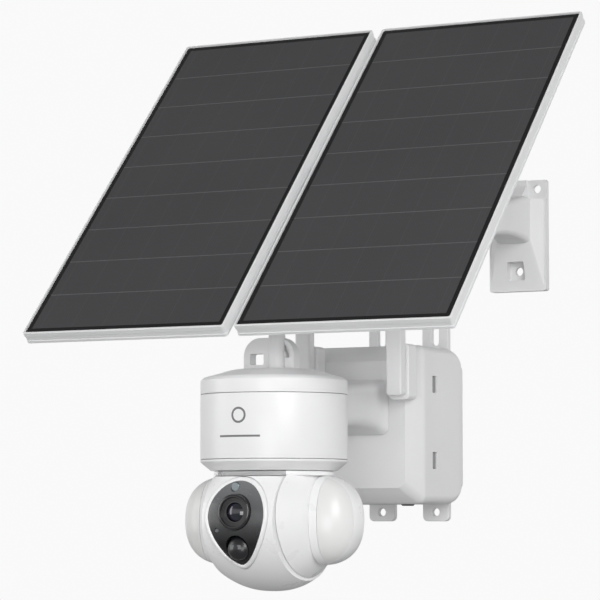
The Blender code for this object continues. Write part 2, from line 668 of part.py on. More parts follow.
def build_pods():
    for side, label in ((-1, "left"), (1, "right")):
        split_x = side * DIFFUSER_INNER_X
        far_x = side * 80.0
        split_y = CAN_Y + DIFFUSER_BACK_Y
        low_x, high_x = sorted((split_x, far_x))
        near = block((low_x, split_y - 60, AXIS_Z - 50), (high_x, split_y, AXIS_Z + 50))
        diffuser = finish(f"lamp_diffuser_{label}", pod_solid(side, 0.0), FROST)
        boolean(diffuser, "INTERSECT", near)
        boolean(diffuser, "DIFFERENCE", pod_solid(side, POD_WALL))
        housing = finish(f"lamp_housing_{label}", pod_solid(side, 0.0), WHITE)
        boolean(housing, "DIFFERENCE", pod_solid(side, POD_WALL))
        low_x, high_x = sorted((split_x - side * GAP, far_x))
        front = block((low_x, split_y - 60, AXIS_Z - 50), (high_x, split_y + GAP, AXIS_Z + 50))
        boolean(housing, "DIFFERENCE", front)
        low_x = min(side * 43.0, side * 53.0)
        board = block((low_x, split_y + 1.0, AXIS_Z - 18), (low_x + 10.0, split_y + 2.6, AXIS_Z + 18))
        finish(f"lamp_board_{label}", board, ((0.75, 0.72, 0.45), 0.5))


def build_drives():
    """Pan and tilt wheels with their pinions, and the tilt motor."""
    pan_distance = PAN_MODULE * (WHEEL_TEETH + PINION_TEETH) / 2 + MESH_CLEARANCE
    wheel = gear(WHEEL_TEETH, PAN_MODULE, HUB_R + GAP, *PAN_GEAR_Z, (0, CAN_Y, 0), "Z", math.pi / 2)
    finish("pan_wheel", wheel, GREY)
    pinion_at = (0, CAN_Y + pan_distance, 0)
    half_tooth = math.pi / PINION_TEETH
    pinion = gear(PINION_TEETH, PAN_MODULE, 1.5, *PAN_GEAR_Z, pinion_at, "Z", -math.pi / 2 + half_tooth)
    finish("pan_pinion", pinion, STEEL, pinion_at)

    tilt_distance = TILT_MODULE * (WHEEL_TEETH + PINION_TEETH) / 2 + MESH_CLEARANCE
    wheel_at = (0, CAN_Y, AXIS_Z)
    wheel = gear(WHEEL_TEETH, TILT_MODULE, TRUNNION_R + GAP, *TILT_GEAR_X, wheel_at, "X", -math.pi / 2)
    finish("tilt_wheel", wheel, GREY)
    pinion_at = (0, CAN_Y, AXIS_Z - tilt_distance)
    pinion = gear(PINION_TEETH, TILT_MODULE, 1.2, *TILT_GEAR_X, pinion_at, "X", math.pi / 2 + half_tooth)
    finish("tilt_pinion", pinion, STEEL, pinion_at)
    finish("tilt_motor", rod(10.0, -20.9, -3.0, pinion_at, "X", 20), STEEL)


# ---- Antennas ----------------------------------------------------------------


def build_antenna(side, label):
    x = side * ANTENNA_X
    low_z, high_z = ANTENNA_SHOE_Z
    shoe = block((x - 8.0, ANTENNA_BACK_Y + 0.4, low_z), (x + 8.0, -BOX_DEPTH - GAP, high_z), 3.0)
    base = finish(f"antenna_base_{label}", shoe, WHITE)
    at = (x, 0, ANTENNA_PIVOT_Z)
    boolean(base, "DIFFERENCE", rod(3.4, ANTENNA_BACK_Y - 1, -90.0, at, "Y", 16))
    foot = ANTENNA_PIVOT_Z - ANTENNA_HALF_W
    outline = [(x - ANTENNA_HALF_W, foot + 2.5), (x - ANTENNA_HALF_W + 2.5, foot)]
    outline += [(x + ANTENNA_HALF_W - 2.5, foot), (x + ANTENNA_HALF_W, foot + 2.5)]
    top = ANTENNA_PIVOT_Z + ANTENNA_LENGTH - ANTENNA_HALF_W
    outline += [(x + ANTENNA_HALF_W, top - 4.0), (x + 3.6, top)]
    outline += [(x - 3.6, top), (x - ANTENNA_HALF_W, top - 4.0)]
    origin = (x, ANTENNA_BACK_Y, ANTENNA_PIVOT_Z)
    blade = finish(f"antenna_{label}", prism(outline, ANTENNA_BACK_Y, ANTENNA_FRONT_Y, "Y"), WHITE, origin)
    boolean(blade, "UNION", rod(3.0, ANTENNA_BACK_Y - 2.0, -91.0, at, "Y", 16))


# ---- Solar panels and bracket ------------------------------------------------

PANEL_ORIGIN = (0.0, PANEL_Y, PANEL_Z)


def build_panel(side, label):
    """One panel, in the panels' own plane: X across, Y up the slope, Z out of the glass."""
    inner_x = PANEL_MIDDLE_GAP / 2
    low_x = inner_x if side > 0 else -inner_x - PANEL_W
    high_x = low_x + PANEL_W
    half_h = PANEL_H / 2
    frame = finish(f"panel_frame_{label}",
                   block((low_x, -half_h, -PANEL_DEPTH + 0.8), (high_x, half_h, 0.8)),
                   ALUMINIUM, PANEL_ORIGIN, PANEL_LEAN)
    inside_h = half_h - PANEL_LIP
    pocket = block((low_x + PANEL_LIP, -inside_h, -PANEL_DEPTH - 2), (high_x - PANEL_LIP, inside_h, 4))
    boolean(frame, "DIFFERENCE", pocket, PANEL_LEAN)
    edge = PANEL_LIP + GAP
    glass = block((low_x + edge, -half_h + edge, -GLASS_DEPTH), (high_x - edge, half_h - edge, 0.0))
    finish(f"solar_glass_{label}", glass, GLASS, PANEL_ORIGIN, PANEL_LEAN)
    back_top = -GLASS_DEPTH - GAP
    back = block((low_x + edge, -half_h + edge, -PANEL_DEPTH + 1.0), (high_x - edge, half_h - edge, back_top))
    finish(f"panel_back_{label}", back, WHITE, PANEL_ORIGIN, PANEL_LEAN)


def build_panel_support():
    rail_top = -PANEL_DEPTH + 0.8 - GAP
    rail = block((-125.0, -RAIL_HALF_H, rail_top - RAIL_DEPTH), (125.0, RAIL_HALF_H, rail_top), 2.0)
    finish("cross_rail", rail, WHITE, PANEL_ORIGIN, PANEL_LEAN)

    cheek_top = rail_top - RAIL_DEPTH - GAP
    cheek_outline = [(-10.0, cheek_top), (10.0, cheek_top), (10.0, -34.0)]
    for k in range(7):
        angle = math.radians(-30.0 - 120.0 * k / 6)
        cheek_outline.append((11.0 * math.cos(angle), -PIVOT_BEHIND_PANEL + 11.0 * math.sin(angle)))
    cheek_outline.append((-10.0, -34.0))
    head = finish("tilt_bracket", prism(cheek_outline, BRACKET_X - 13.0, BRACKET_X + 13.0, "X"),
                  WHITE, PANEL_ORIGIN, PANEL_LEAN)
    tongue_slot = block((BRACKET_X - 6.4, -30, -70), (BRACKET_X + 6.4, 30, rail_top - RAIL_DEPTH - 2.5))
    boolean(head, "DIFFERENCE", tongue_slot, PANEL_LEAN)
    pin_hole = rod(PIVOT_BORE_R, BRACKET_X - 20, BRACKET_X + 20, (0, 0, -PIVOT_BEHIND_PANEL), "X", 16)
    boolean(head, "DIFFERENCE", pin_hole, PANEL_LEAN)


def pivot_point():
    lean = math.radians(PANEL_LEAN)
    y = PANEL_Y + PIVOT_BEHIND_PANEL * math.cos(lean)
    z = PANEL_Z - PIVOT_BEHIND_PANEL * math.sin(lean)
    return (BRACKET_X, y, z)


def build_bracket():
    at = pivot_point()
    bolt = [(0.0, -16.5), (5.0, -16.5), (5.0, -13.4), (3.0, -13.4)]
    bolt += [(3.0, 13.4), (5.0, 13.4), (5.0, 16.5), (0.0, 16.5)]
    finish("tilt_bolt", lathe(bolt, at, "X", 16), STEEL, at)
    # The swivel neck stands on the strut's end and carries the tongue of the tilt joint.
    eye = tube(9.5, PIVOT_BORE_R, -6.0, 6.0, at, "X", 20)
    tongue = finish("swivel_neck", eye, WHITE, at)
    low_z = STRUT_Z - 26.0
    web = block((at[0] - 5.8, at[1] - 5.0, low_z + 9.0), (at[0] + 5.8, at[1] + 8.0, at[2] - 7.0))
    boolean(tongue, "UNION", web)
    boolean(tongue, "UNION", rod(9.0, low_z + 6.0, low_z + 11.0, (at[0], at[1] + 1.5, 0), "Z", 20))
    boolean(tongue, "UNION", rod(4.0, low_z - 6.0, low_z + 8.0, (at[0], at[1] + 1.5, 0), "Z", 16))
    boolean(tongue, "DIFFERENCE", rod(PIVOT_BORE_R, -20, 20, at, "X", 16))

    # Strut: flared at the wall, dropping to a round pad under the swivel neck.
    rings = []
    pad_z = low_z - 1.0
    stations = [(-BRACKET_DEPTH - GAP, 14.0, 18.0, STRUT_Z - 1.0), (-30.0, 13.0, 15.0, STRUT_Z - 1.0)]
    stations += [(-62.0, 12.0, 11.0, STRUT_Z - 6.0), (-96.0, 10.0, 8.5, STRUT_Z - 17.0)]
    stations += [(-124.0, 10.0, 6.5, pad_z), (at[1] - 9.0, 9.0, 6.5, pad_z)]
    for y, half_w, half_h, z in stations:
        rings.append([(BRACKET_X + a, y, z + b) for a, b in rounded_rectangle(half_w, half_h, 4.0)])
    strut = finish("bracket_strut", loft(rings), WHITE)
    boolean(strut, "DIFFERENCE", rod(4.3, pad_z - 20, pad_z + 20, (at[0], at[1] + 1.5, 0), "Z", 16))
    boolean(strut, "DIFFERENCE", rod(9.3, low_z + 5.7, low_z + 40, (at[0], at[1] + 1.5, 0), "Z", 24))

    wall = block((BRACKET_X - BRACKET_HALF_W, -BRACKET_DEPTH, BRACKET_Z - BRACKET_HALF_H),
                 (BRACKET_X + BRACKET_HALF_W, 0.0, BRACKET_Z + BRACKET_HALF_H))
    plate = finish("bracket_wall_plate", wall, WHITE)
    pockets = [(-BRACKET_HALF_W - 1, -7.4, 27.5, BRACKET_HALF_H + 1)]
    pockets += [(7.4, BRACKET_HALF_W + 1, 27.5, BRACKET_HALF_H + 1), (-7.0, 7.0, -34.0, -20.0)]
    for low_a, high_a, low_b, high_b in pockets:
        low = (BRACKET_X + low_a, -40, BRACKET_Z + low_b)
        boolean(plate, "DIFFERENCE", block(low, (BRACKET_X + high_a, -BRACKET_WEB, BRACKET_Z + high_b)))
    for x, z in ((-15.0, 35.5), (15.0, 35.5), (0.0, -27.0)):
        boolean(plate, "DIFFERENCE", rod(3.2, -10, 5, (BRACKET_X + x, 0, BRACKET_Z + z), "Y", 16))


# ---- Assembly ----------------------------------------------------------------

HEAD_NODES = ("head_front_shell", "head_rear_shell", "face_bezel", "face_plate", "lens_barrel",
              "lens_glass", "camera_board", "motion_sensor_dome", "light_sensor", "status_light",
              "tilt_motor", "tilt_pinion")
YOKE_NODES = ("yoke", "trunnion_left", "trunnion_right", "tilt_wheel", "pan_wheel",
              "lamp_housing_left", "lamp_housing_right", "lamp_diffuser_left", "lamp_diffuser_right",
              "lamp_board_left", "lamp_board_right")
PANEL_NODES = ("panel_frame_left", "panel_frame_right", "solar_glass_left", "solar_glass_right",
               "panel_back_left", "panel_back_right", "cross_rail", "tilt_bracket")


def main():
    for obj in list(bpy.data.objects):
        bpy.data.objects.remove(obj, do_unlink=True)
    build_box()
    build_electronics()
    build_arm()
    build_can()
    build_head()
    build_face()
    build_yoke()
    build_pods()
    build_drives()
    for side, label in ((-1, "left"), (1, "right")):
        build_antenna(side, label)
        build_panel(side, label)
    build_panel_support()
    build_bracket()

    tilt_at = pivot_point()
    head_pan = pivot("head_pan_axis", (0.0, CAN_Y, -37.0))
    head_tilt = pivot("head_tilt_axis", (0.0, CAN_Y, AXIS_Z), head_pan)
    swivel = pivot("panel_swivel_axis", (tilt_at[0], tilt_at[1] + 1.5, STRUT_Z - 20.0))
    tilt = pivot("panel_tilt_axis", tilt_at, swivel)
    groups = ((head_pan, YOKE_NODES), (head_tilt, HEAD_NODES))
    groups += ((swivel, ("swivel_neck", "tilt_bolt")), (tilt, PANEL_NODES))
    for parent, names in groups:
        for name in names:
            hang(bpy.data.objects[name], parent)


main()
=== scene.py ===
"""Looks of the solar-powered security camera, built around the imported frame.

Lengths in the shape functions are millimetres in the frame's axes; mesh_object() turns
them into metres. Many places and sizes are read from the frame's node boxes. The others are
the named values at the head of each section.
"""
import math

import bmesh
import bpy
from mathutils import Matrix, Vector


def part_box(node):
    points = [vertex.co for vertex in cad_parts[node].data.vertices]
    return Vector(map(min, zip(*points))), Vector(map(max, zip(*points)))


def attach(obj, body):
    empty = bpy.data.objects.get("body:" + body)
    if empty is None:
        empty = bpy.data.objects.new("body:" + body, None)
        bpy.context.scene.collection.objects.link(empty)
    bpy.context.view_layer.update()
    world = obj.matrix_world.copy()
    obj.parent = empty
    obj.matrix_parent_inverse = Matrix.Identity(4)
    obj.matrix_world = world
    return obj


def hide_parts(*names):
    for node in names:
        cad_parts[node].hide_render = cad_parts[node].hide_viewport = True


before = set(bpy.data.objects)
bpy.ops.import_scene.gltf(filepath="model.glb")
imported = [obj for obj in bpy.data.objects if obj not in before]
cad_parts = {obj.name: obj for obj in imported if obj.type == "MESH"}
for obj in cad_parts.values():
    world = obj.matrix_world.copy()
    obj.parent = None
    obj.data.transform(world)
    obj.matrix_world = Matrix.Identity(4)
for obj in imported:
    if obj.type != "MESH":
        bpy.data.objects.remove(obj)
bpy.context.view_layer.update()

MM = 0.001
SIDES = ((-1, "left"), (1, "right"))


def add_to_scene(obj):
    bpy.context.scene.collection.objects.link(obj)


def node_box(name):
    """Lowest and highest corner of a CAD node, in millimetres."""
    low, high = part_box(name)
    return low / MM, high / MM


# ---- Camera ------------------------------------------------------------------
CAMERA_AT = (954.5, -1995.1, -74.3)
CAMERA_TURN = 27.8
CAMERA_RISE = 4.5
CAMERA_LENS = 171.0


def make_camera():
    data = bpy.data.cameras.new("camera")
    data.lens = CAMERA_LENS
    data.clip_end = 50.0
    camera = bpy.data.objects.new("camera", data)
    camera.location = Vector(CAMERA_AT) * MM
    camera.rotation_euler = (math.radians(90.0 + CAMERA_RISE), 0.0, math.radians(CAMERA_TURN))
    add_to_scene(camera)
    bpy.context.scene.camera = camera


make_camera()

# ---- Places read from the frame ----------------------------------------------
can_low, can_high = node_box("can_shell")
CAN_R = (can_high.x - can_low.x) / 2
CAN_Y = (can_high.y + can_low.y) / 2
CAP_LOW, CAP_HIGH = (corner.z for corner in node_box("can_cap"))
BASE_LOW, BASE_HIGH = (corner.z for corner in node_box("can_base"))
trunnion_low, trunnion_high = node_box("trunnion_right")
AXIS_Z = (trunnion_low.z + trunnion_high.z) / 2
housing_low, housing_high = node_box("box_housing")
plate_low, plate_high = node_box("box_back_plate")

# ---- Material tools ----------------------------------------------------------


class Nodes:
    """Short hand for building one material's node tree."""

    def __init__(self, name):
        self.material = bpy.data.materials.new(name)
        self.material.use_nodes = True
        self.tree = self.material.node_tree
        self.shader = self.tree.nodes["Principled BSDF"]

    def add(self, kind, **values):
        node = self.tree.nodes.new(kind)
        for key, value in values.items():
            setattr(node, key, value)
        return node

    def link(self, source, target):
        self.tree.links.new(source, target)

    def set(self, **values):
        for key, value in values.items():
            self.shader.inputs[key.replace("_", " ")].default_value = value

    def feed(self, socket, value):
        self.link(value, self.shader.inputs[socket])

    def coordinates(self):
        return self.add("ShaderNodeTexCoord").outputs["Object"]

    def noise(self, vector, scale, detail=2.0, rough=0.5):
        node = self.add("ShaderNodeTexNoise")
        node.inputs["Scale"].default_value = scale
        node.inputs["Detail"].default_value = detail
        node.inputs["Roughness"].default_value = rough
        self.link(vector, node.inputs["Vector"])
        return node.outputs["Fac"]

    def spread(self, value, low, high, from_low=0.3, from_high=0.7):
        node = self.add("ShaderNodeMapRange")
        node.inputs["From Min"].default_value = from_low
        node.inputs["From Max"].default_value = from_high
        node.inputs["To Min"].default_value = low
        node.inputs["To Max"].default_value = high
        self.link(value, node.inputs["Value"])
        return node.outputs["Result"]

    def mix(self, value, first, second):
        node = self.add("ShaderNodeMix", data_type="RGBA")
        if isinstance(value, float):
            node.inputs["Factor"].default_value = value
        else:
            self.link(value, node.inputs["Factor"])
        for socket, colour in (("A", first), ("B", second)):
            target = next(s for s in node.inputs if s.name == socket and s.type == "RGBA")
            if isinstance(colour, tuple):
                target.default_value = (*colour, 1.0)
            else:
                self.link(colour, target)
        return next(s for s in node.outputs if s.type == "RGBA")

    def math(self, operation, first, second=None):
        node = self.add("ShaderNodeMath", operation=operation)
        for slot, value in enumerate((first, second)):
            if value is None:
                continue
            if isinstance(value, float):
                node.inputs[slot].default_value = value
            else:
                self.link(value, node.inputs[slot])
        return node.outputs["Value"]

    def bump(self, height, strength, distance):
        node = self.add("ShaderNodeBump")
        node.inputs["Strength"].default_value = strength
        node.inputs["Distance"].default_value = distance
        self.link(height, node.inputs["Height"])
        self.feed("Normal", node.outputs["Normal"])


def moulded(name, colour, roughness, grain=1900.0, depth=0.00004, tint=0.03, coat=0.0):
    """Moulded plastic: fine spark-eroded grain, slow colour drift and uneven gloss."""
    nodes = Nodes(name)
    at = nodes.coordinates()
    slow = nodes.noise(at, 14.0, 3.0)
    lighter = tuple(min(1.0, c * (1.0 + tint)) for c in colour)
    darker = tuple(c * (1.0 - tint) for c in colour)
    nodes.feed("Base Color", nodes.mix(nodes.spread(slow, 0.0, 1.0), darker, lighter))
    blotch = nodes.noise(at, 60.0, 4.0)
    nodes.feed("Roughness", nodes.spread(blotch, roughness - 0.04, roughness + 0.05))
    nodes.bump(nodes.noise(at, grain, 2.0, 0.6), 0.35, depth)
    if coat:
        nodes.set(Coat_Weight=coat, Coat_Roughness=0.12)
    return nodes.material


def brushed(name, colour, roughness, stretch=(1.0, 60.0, 60.0), metallic=1.0):
    """Metal with fine drawn lines along one local axis."""
    nodes = Nodes(name)
    at = nodes.coordinates()
    scale = nodes.add("ShaderNodeMapping")
    scale.inputs["Scale"].default_value = stretch
    nodes.link(at, scale.inputs["Vector"])
    lines = nodes.noise(scale.outputs["Vector"], 40.0, 6.0, 0.7)
    darker = tuple(c * 0.90 for c in colour)
    nodes.feed("Base Color", nodes.mix(nodes.spread(lines, 0.0, 1.0), darker, colour))
    nodes.feed("Roughness", nodes.spread(lines, roughness - 0.06, roughness + 0.10))
    nodes.set(Metallic=metallic)
    nodes.bump(lines, 0.25, 0.00003)
    return nodes.material


WHITE = (0.81, 0.81, 0.815)
MATERIALS = {
    "shell": moulded("shell_plastic", WHITE, 0.40, coat=0.08),
    "can": moulded("can_plastic", (0.85, 0.85, 0.855), 0.36, coat=0.12),
    "head": moulded("head_plastic", (0.91, 0.91, 0.915), 0.30, depth=0.00002, coat=0.25),
    "antenna": moulded("antenna_plastic", (0.89, 0.89, 0.895), 0.42),
    "coated": moulded("powder_coat", (0.82, 0.82, 0.825), 0.45, grain=900.0, depth=0.00006),
    "back_sheet": moulded("back_sheet", (0.74, 0.745, 0.75), 0.55, grain=300.0, depth=0.00001),
    "dark": moulded("dark_plastic", (0.018, 0.018, 0.019), 0.45, tint=0.10),
    "rubber": moulded("rubber_seal", (0.035, 0.035, 0.036), 0.75, grain=700.0, tint=0.12),
    "hook": moulded("hook_plastic", (0.30, 0.30, 0.305), 0.5),
    "mark": moulded("mark_ink", (0.19, 0.19, 0.195), 0.5, tint=0.08),
    "frame": moulded("frame_coat", (0.80, 0.805, 0.81), 0.40, grain=300.0, depth=0.00001),
    "steel": brushed("turned_steel", (0.58, 0.58, 0.60), 0.30, (60.0, 60.0, 4.0)),
    "cell_wrap": moulded("cell_wrap", (0.10, 0.22, 0.42), 0.35),
    "board": moulded("solder_mask", (0.03, 0.16, 0.07), 0.4, grain=300.0, tint=0.25),
    "lamp_board": moulded("lamp_board", (0.78, 0.76, 0.66), 0.4, grain=300.0),
    "gear": moulded("gear_plastic", (0.30, 0.31, 0.32), 0.45),
}


def face_gloss_painted_sheen():
    """Glossy black cover; a painted sheen lightens it to grey toward its top, black at its foot."""
    nodes = Nodes("face_gloss_painted_sheen")
    at = nodes.coordinates()
    split = nodes.add("ShaderNodeSeparateXYZ")
    nodes.link(at, split.inputs["Vector"])
    low = (AXIS_Z - 16.0) * MM
    high = (AXIS_Z + 30.0) * MM
    # Painted sheen: this mask lightens the base colour from black at the foot to grey at the top.
    height = nodes.spread(split.outputs["Z"], 0.0, 1.0, low, high)
    shade = nodes.mix(height, (0.005, 0.005, 0.006), (0.21, 0.215, 0.22))
    speck = nodes.spread(nodes.noise(at, 900.0, 2.0), 0.0, 0.12)
    nodes.feed("Base Color", nodes.mix(speck, shade, (0.02, 0.02, 0.022)))
    nodes.feed("Roughness", nodes.spread(nodes.noise(at, 90.0, 3.0), 0.22, 0.30))
    nodes.set(Coat_Weight=0.35, Coat_Roughness=0.16)
    return nodes.material


def lens_glass():
    """Coated lens: nearly black, with a painted violet sheen toward its edge and faint green patches at
    random.
    """
    nodes = Nodes("lens_glass_coated")
    facing = nodes.add("ShaderNodeLayerWeight")
    facing.inputs["Blend"].default_value = 0.35
    # Painted sheen: the base colour turns violet where the surface faces away from the view.
    painted_edge_sheen = nodes.mix(facing.outputs["Facing"], (0.004, 0.004, 0.008), (0.05, 0.03, 0.09))
    smear = nodes.spread(nodes.noise(nodes.coordinates(), 400.0, 3.0), 0.0, 0.25)
    nodes.feed("Base Color", nodes.mix(smear, painted_edge_sheen, (0.01, 0.035, 0.03)))
    nodes.feed("Roughness", nodes.spread(nodes.noise(nodes.coordinates(), 150.0), 0.02, 0.06))
    nodes.set(Coat_Weight=1.0, Coat_Roughness=0.02)
    return nodes.material


def frosted():
    """Milky lamp cover with a fine prism grain."""
    nodes = Nodes("frosted_cover")
    at = nodes.coordinates()
    slow = nodes.noise(at, 30.0, 2.0)
    milk = nodes.mix(nodes.spread(slow, 0.0, 1.0), (0.80, 0.80, 0.79), (0.86, 0.86, 0.855))
    nodes.feed("Base Color", milk)
    nodes.feed("Roughness", nodes.spread(nodes.noise(at, 80.0, 3.0), 0.28, 0.38))
    nodes.set(Coat_Weight=0.2, Coat_Roughness=0.15)
    nodes.bump(nodes.noise(at, 1200.0, 1.0), 0.25, 0.00004)
    return nodes.material


def solar_cells(border):
    """Dark solar cells under an embossed clear film, or the black margin round them."""
    nodes = Nodes("solar_border" if border else "solar_cells")
    at = nodes.coordinates()
    split = nodes.add("ShaderNodeSeparateXYZ")
    nodes.link(at, split.inputs["Vector"])
    cloud = nodes.noise(at, 9.0, 4.0)
    if border:
        shade = nodes.mix(nodes.spread(cloud, 0.0, 1.0), (0.007, 0.007, 0.008), (0.010, 0.010, 0.011))
    else:
        fingers = nodes.math("SINE", nodes.math("MULTIPLY", split.outputs["X"], 2.0 * math.pi / 0.0021))
        ribbon = nodes.math("PINGPONG", split.outputs["X"], 0.013)
        base = nodes.mix(nodes.spread(cloud, 0.0, 1.0), (0.053, 0.053, 0.056), (0.060, 0.060, 0.063))
        lined = nodes.mix(nodes.spread(fingers, 0.0, 0.35, -1.0, 1.0), base, (0.069, 0.069, 0.072))
        shade = nodes.mix(nodes.spread(ribbon, 0.45, 0.0, 0.0, 0.0007), lined, (0.080, 0.080, 0.083))
    nodes.feed("Base Color", shade)
    nodes.feed("Roughness", nodes.spread(nodes.noise(at, 35.0, 4.0), 0.50, 0.60))
    emboss = nodes.add("ShaderNodeTexVoronoi")
    emboss.inputs["Scale"].default_value = 900.0
    nodes.link(at, emboss.inputs["Vector"])
    nodes.bump(emboss.outputs["Distance"], 0.20, 0.00006)
    nodes.set(Specular_IOR_Level=0.35)
    return nodes.material


MATERIALS["dome"] = moulded("dome_film", (0.012, 0.012, 0.014), 0.30, grain=500.0, depth=0.00002, coat=0.25)
MATERIALS["element"] = moulded("sensor_element", (0.16, 0.165, 0.17), 0.3, grain=500.0, depth=0.00001)
MATERIALS["lens_trim"] = moulded("lens_trim", (0.016, 0.016, 0.018), 0.20, grain=900.0, depth=0.00001,
                                 coat=0.5)
MATERIALS["window"] = moulded("sensor_window", (0.22, 0.26, 0.28), 0.12, grain=500.0, depth=0.00001, coat=0.6)
MATERIALS["led"] = moulded("led_window", (0.10, 0.105, 0.11), 0.15, grain=500.0, depth=0.00001, coat=0.5)
MATERIALS["ribbon"] = brushed("cell_ribbon", (0.115, 0.115, 0.118), 0.45, metallic=0.0)
MATERIALS["face"] = face_gloss_painted_sheen()
MATERIALS["lens"] = lens_glass()
MATERIALS["frost"] = frosted()
MATERIALS["cells"] = solar_cells(False)
MATERIALS["margin"] = solar_cells(True)

# ---- Shape tools -------------------------------------------------------------


def join_rings(bm, first, second):
    count = max(len(first), len(second))
    if count == 1:
        return
    for k in range(count):
        following = (k + 1) % count
        corners = [first[k % len(first)], first[following % len(first)]]
        corners += [second[following % len(second)], second[k % len(second)]]
        bm.faces.new(list(dict.fromkeys(corners)))


def loft(rings, closed=False):
    """Skin rings of equal count; open skins get a flat cap on each end."""
    bm = bmesh.new()
    made = [[bm.verts.new(point) for point in ring] for ring in rings]
    for first, second in zip(made, made[1:] + (made[:1] if closed else [])):
        join_rings(bm, first, second)
    if not closed:
        for ring in (made[0], made[-1]):
            if len(ring) > 2:
                bm.faces.new(ring)
    return bm


TURNS = {"Z": Matrix(), "X": Matrix.Rotation(math.pi / 2, 4, "Y"), "Y": Matrix.Rotation(-math.pi / 2, 4, "X")}


def lathe(profile, centre=(0.0, 0.0, 0.0), axis="Z", segments=96):
    """Spin a closed (radius, height) outline about an axis through centre."""
    rings = []
    for radius, height in profile:
        if radius < 1e-6:
            rings.append([(0.0, 0.0, height)])
            continue
        angles = [math.tau * k / segments for k in range(segments)]
        rings.append([(radius * math.cos(a), radius * math.sin(a), height) for a in angles])
    bm = loft(rings, closed=True)
    bmesh.ops.transform(bm, matrix=Matrix.Translation(centre) @ TURNS[axis], verts=bm.verts[:])
    return bm


def rounded(points, radius, steps=4, closed=True):
    """Round the corners of an outline with arcs of about this radius."""
    result = []
    count = len(points)
    for k, corner in enumerate(points):
        here = Vector(corner)
        if not closed and k in (0, count - 1):
            result.append(tuple(here))
            continue
        before = Vector(points[k - 1]) - here
        after = Vector(points[(k + 1) % count]) - here
        reach = min(radius, before.length * 0.45, after.length * 0.45)
        start = here + before.normalized() * reach
        end = here + after.normalized() * reach
        for step in range(steps + 1):
            t = step / steps
            result.append(tuple(start * (1 - t) ** 2 + here * 2 * t * (1 - t) + end * t ** 2))
    return result


def rounded_rectangle(half_a, half_b, radius, steps=8):
    points = []
    corners = [(1, 1, 0.0), (-1, 1, 90.0), (-1, -1, 180.0), (1, -1, 270.0)]
    for sign_a, sign_b, start in corners:
        for k in range(steps + 1):
            angle = math.radians(start + 90.0 * k / steps)
            a = sign_a * (half_a - radius) + radius * math.cos(angle)
            b = sign_b * (half_b - radius) + radius * math.sin(angle)
            points.append((a, b))
    return points


def shifted(outline, a, b):
    """The outline moved by (a, b)."""
    return [(a + point_a, b + point_b) for point_a, point_b in outline]


PLANES = {
    "X": lambda a, b, h: (h, a, b),
    "Y": lambda a, b, h: (a, h, b),
    "Z": lambda a, b, h: (a, b, h),
}


def prism(outline, low, high, axis):
    place = PLANES[axis]
    return loft([[place(a, b, low) for a, b in outline], [place(a, b, high) for a, b in outline]])


def block(low, high):
    bm = bmesh.new()
    bmesh.ops.create_cube(bm, size=1.0)
    bmesh.ops.scale(bm, vec=Vector(high) - Vector(low), verts=bm.verts[:])
    bmesh.ops.translate(bm, vec=(Vector(high) + Vector(low)) / 2, verts=bm.verts[:])
    return bm


def rod(radius, low, high, centre, axis, segments=40):
    return lathe([(0.0, low), (radius, low), (radius, high), (0.0, high)], centre, axis, segments)


def smooth_stations(stations, steps):
    """Pass a smooth curve through rows of numbers, to give a loft its in-between rings."""
    rows = []
    last = len(stations) - 1
    for k in range(last):
        p0, p1 = stations[max(k - 1, 0)], stations[k]
        p2, p3 = stations[k + 1], stations[min(k + 2, last)]
        for step in range(steps):
            t = step / steps
            row = []
            for a, b, c, d in zip(p0, p1, p2, p3):
                value = 2 * b + (c - a) * t + (2 * a - 5 * b + 4 * c - d) * t ** 2
                value += (3 * b - a - 3 * c + d) * t ** 3
                row.append(value / 2)
            rows.append(row)
    rows.append(list(stations[last]))
    return rows


def mesh_object(name, bm, place=None):
    bmesh.ops.recalc_face_normals(bm, faces=bm.faces[:])
    bmesh.ops.scale(bm, verts=bm.verts[:], vec=(MM, MM, MM))
    mesh = bpy.data.meshes.new(name)
    bm.to_mesh(mesh)
    bm.free()
    obj = bpy.data.objects.new(name, mesh)
    add_to_scene(obj)
    if place is not None:
        obj.matrix_world = place
    return obj


def apply_modifiers(obj):
    """Replace obj's mesh with its evaluated one and drop its modifiers."""
    bpy.context.view_layer.update()
    evaluated = obj.evaluated_get(bpy.context.evaluated_depsgraph_get())
    mesh = bpy.data.meshes.new_from_object(evaluated)
    obj.modifiers.clear()
    old = obj.data
    obj.data = mesh
    bpy.data.meshes.remove(old)


def make_piece(name, bm, material, body, replaces=(), cuts=(), joins=(), bevel=0.0,
               bevel_angle=35.0, smooth_angle=35.0, place=None):
    """One finished piece: cut, joined, edge-rounded, shaded, coloured and riding on its body."""
    obj = mesh_object(name, bm, place)
    for operation, shapes in (("UNION", joins), ("DIFFERENCE", cuts)):
        for index, shape in enumerate(shapes):
            guide = mesh_object(f"guide_{operation}_{index}", shape, place)
            modifier = obj.modifiers.new("boolean", "BOOLEAN")
            modifier.operation = operation
            modifier.object = guide
            modifier.solver = "EXACT"
            apply_modifiers(obj)
            bpy.data.objects.remove(guide)
    obj.data.materials.clear()
    obj.data.materials.append(MATERIALS[material])
    obj.data.shade_smooth()
    obj.data.set_sharp_from_angle(angle=math.radians(smooth_angle))
    if bevel:
        modifier = obj.modifiers.new("edges", "BEVEL")
        modifier.width = bevel * MM
        modifier.segments = 3
        modifier.limit_method = "ANGLE"
        modifier.angle_limit = math.radians(bevel_angle)
        modifier.harden_normals = True
        modifier.use_clamp_overlap = True
    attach(obj, body)
    if replaces:
        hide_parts(*replaces)
    return obj


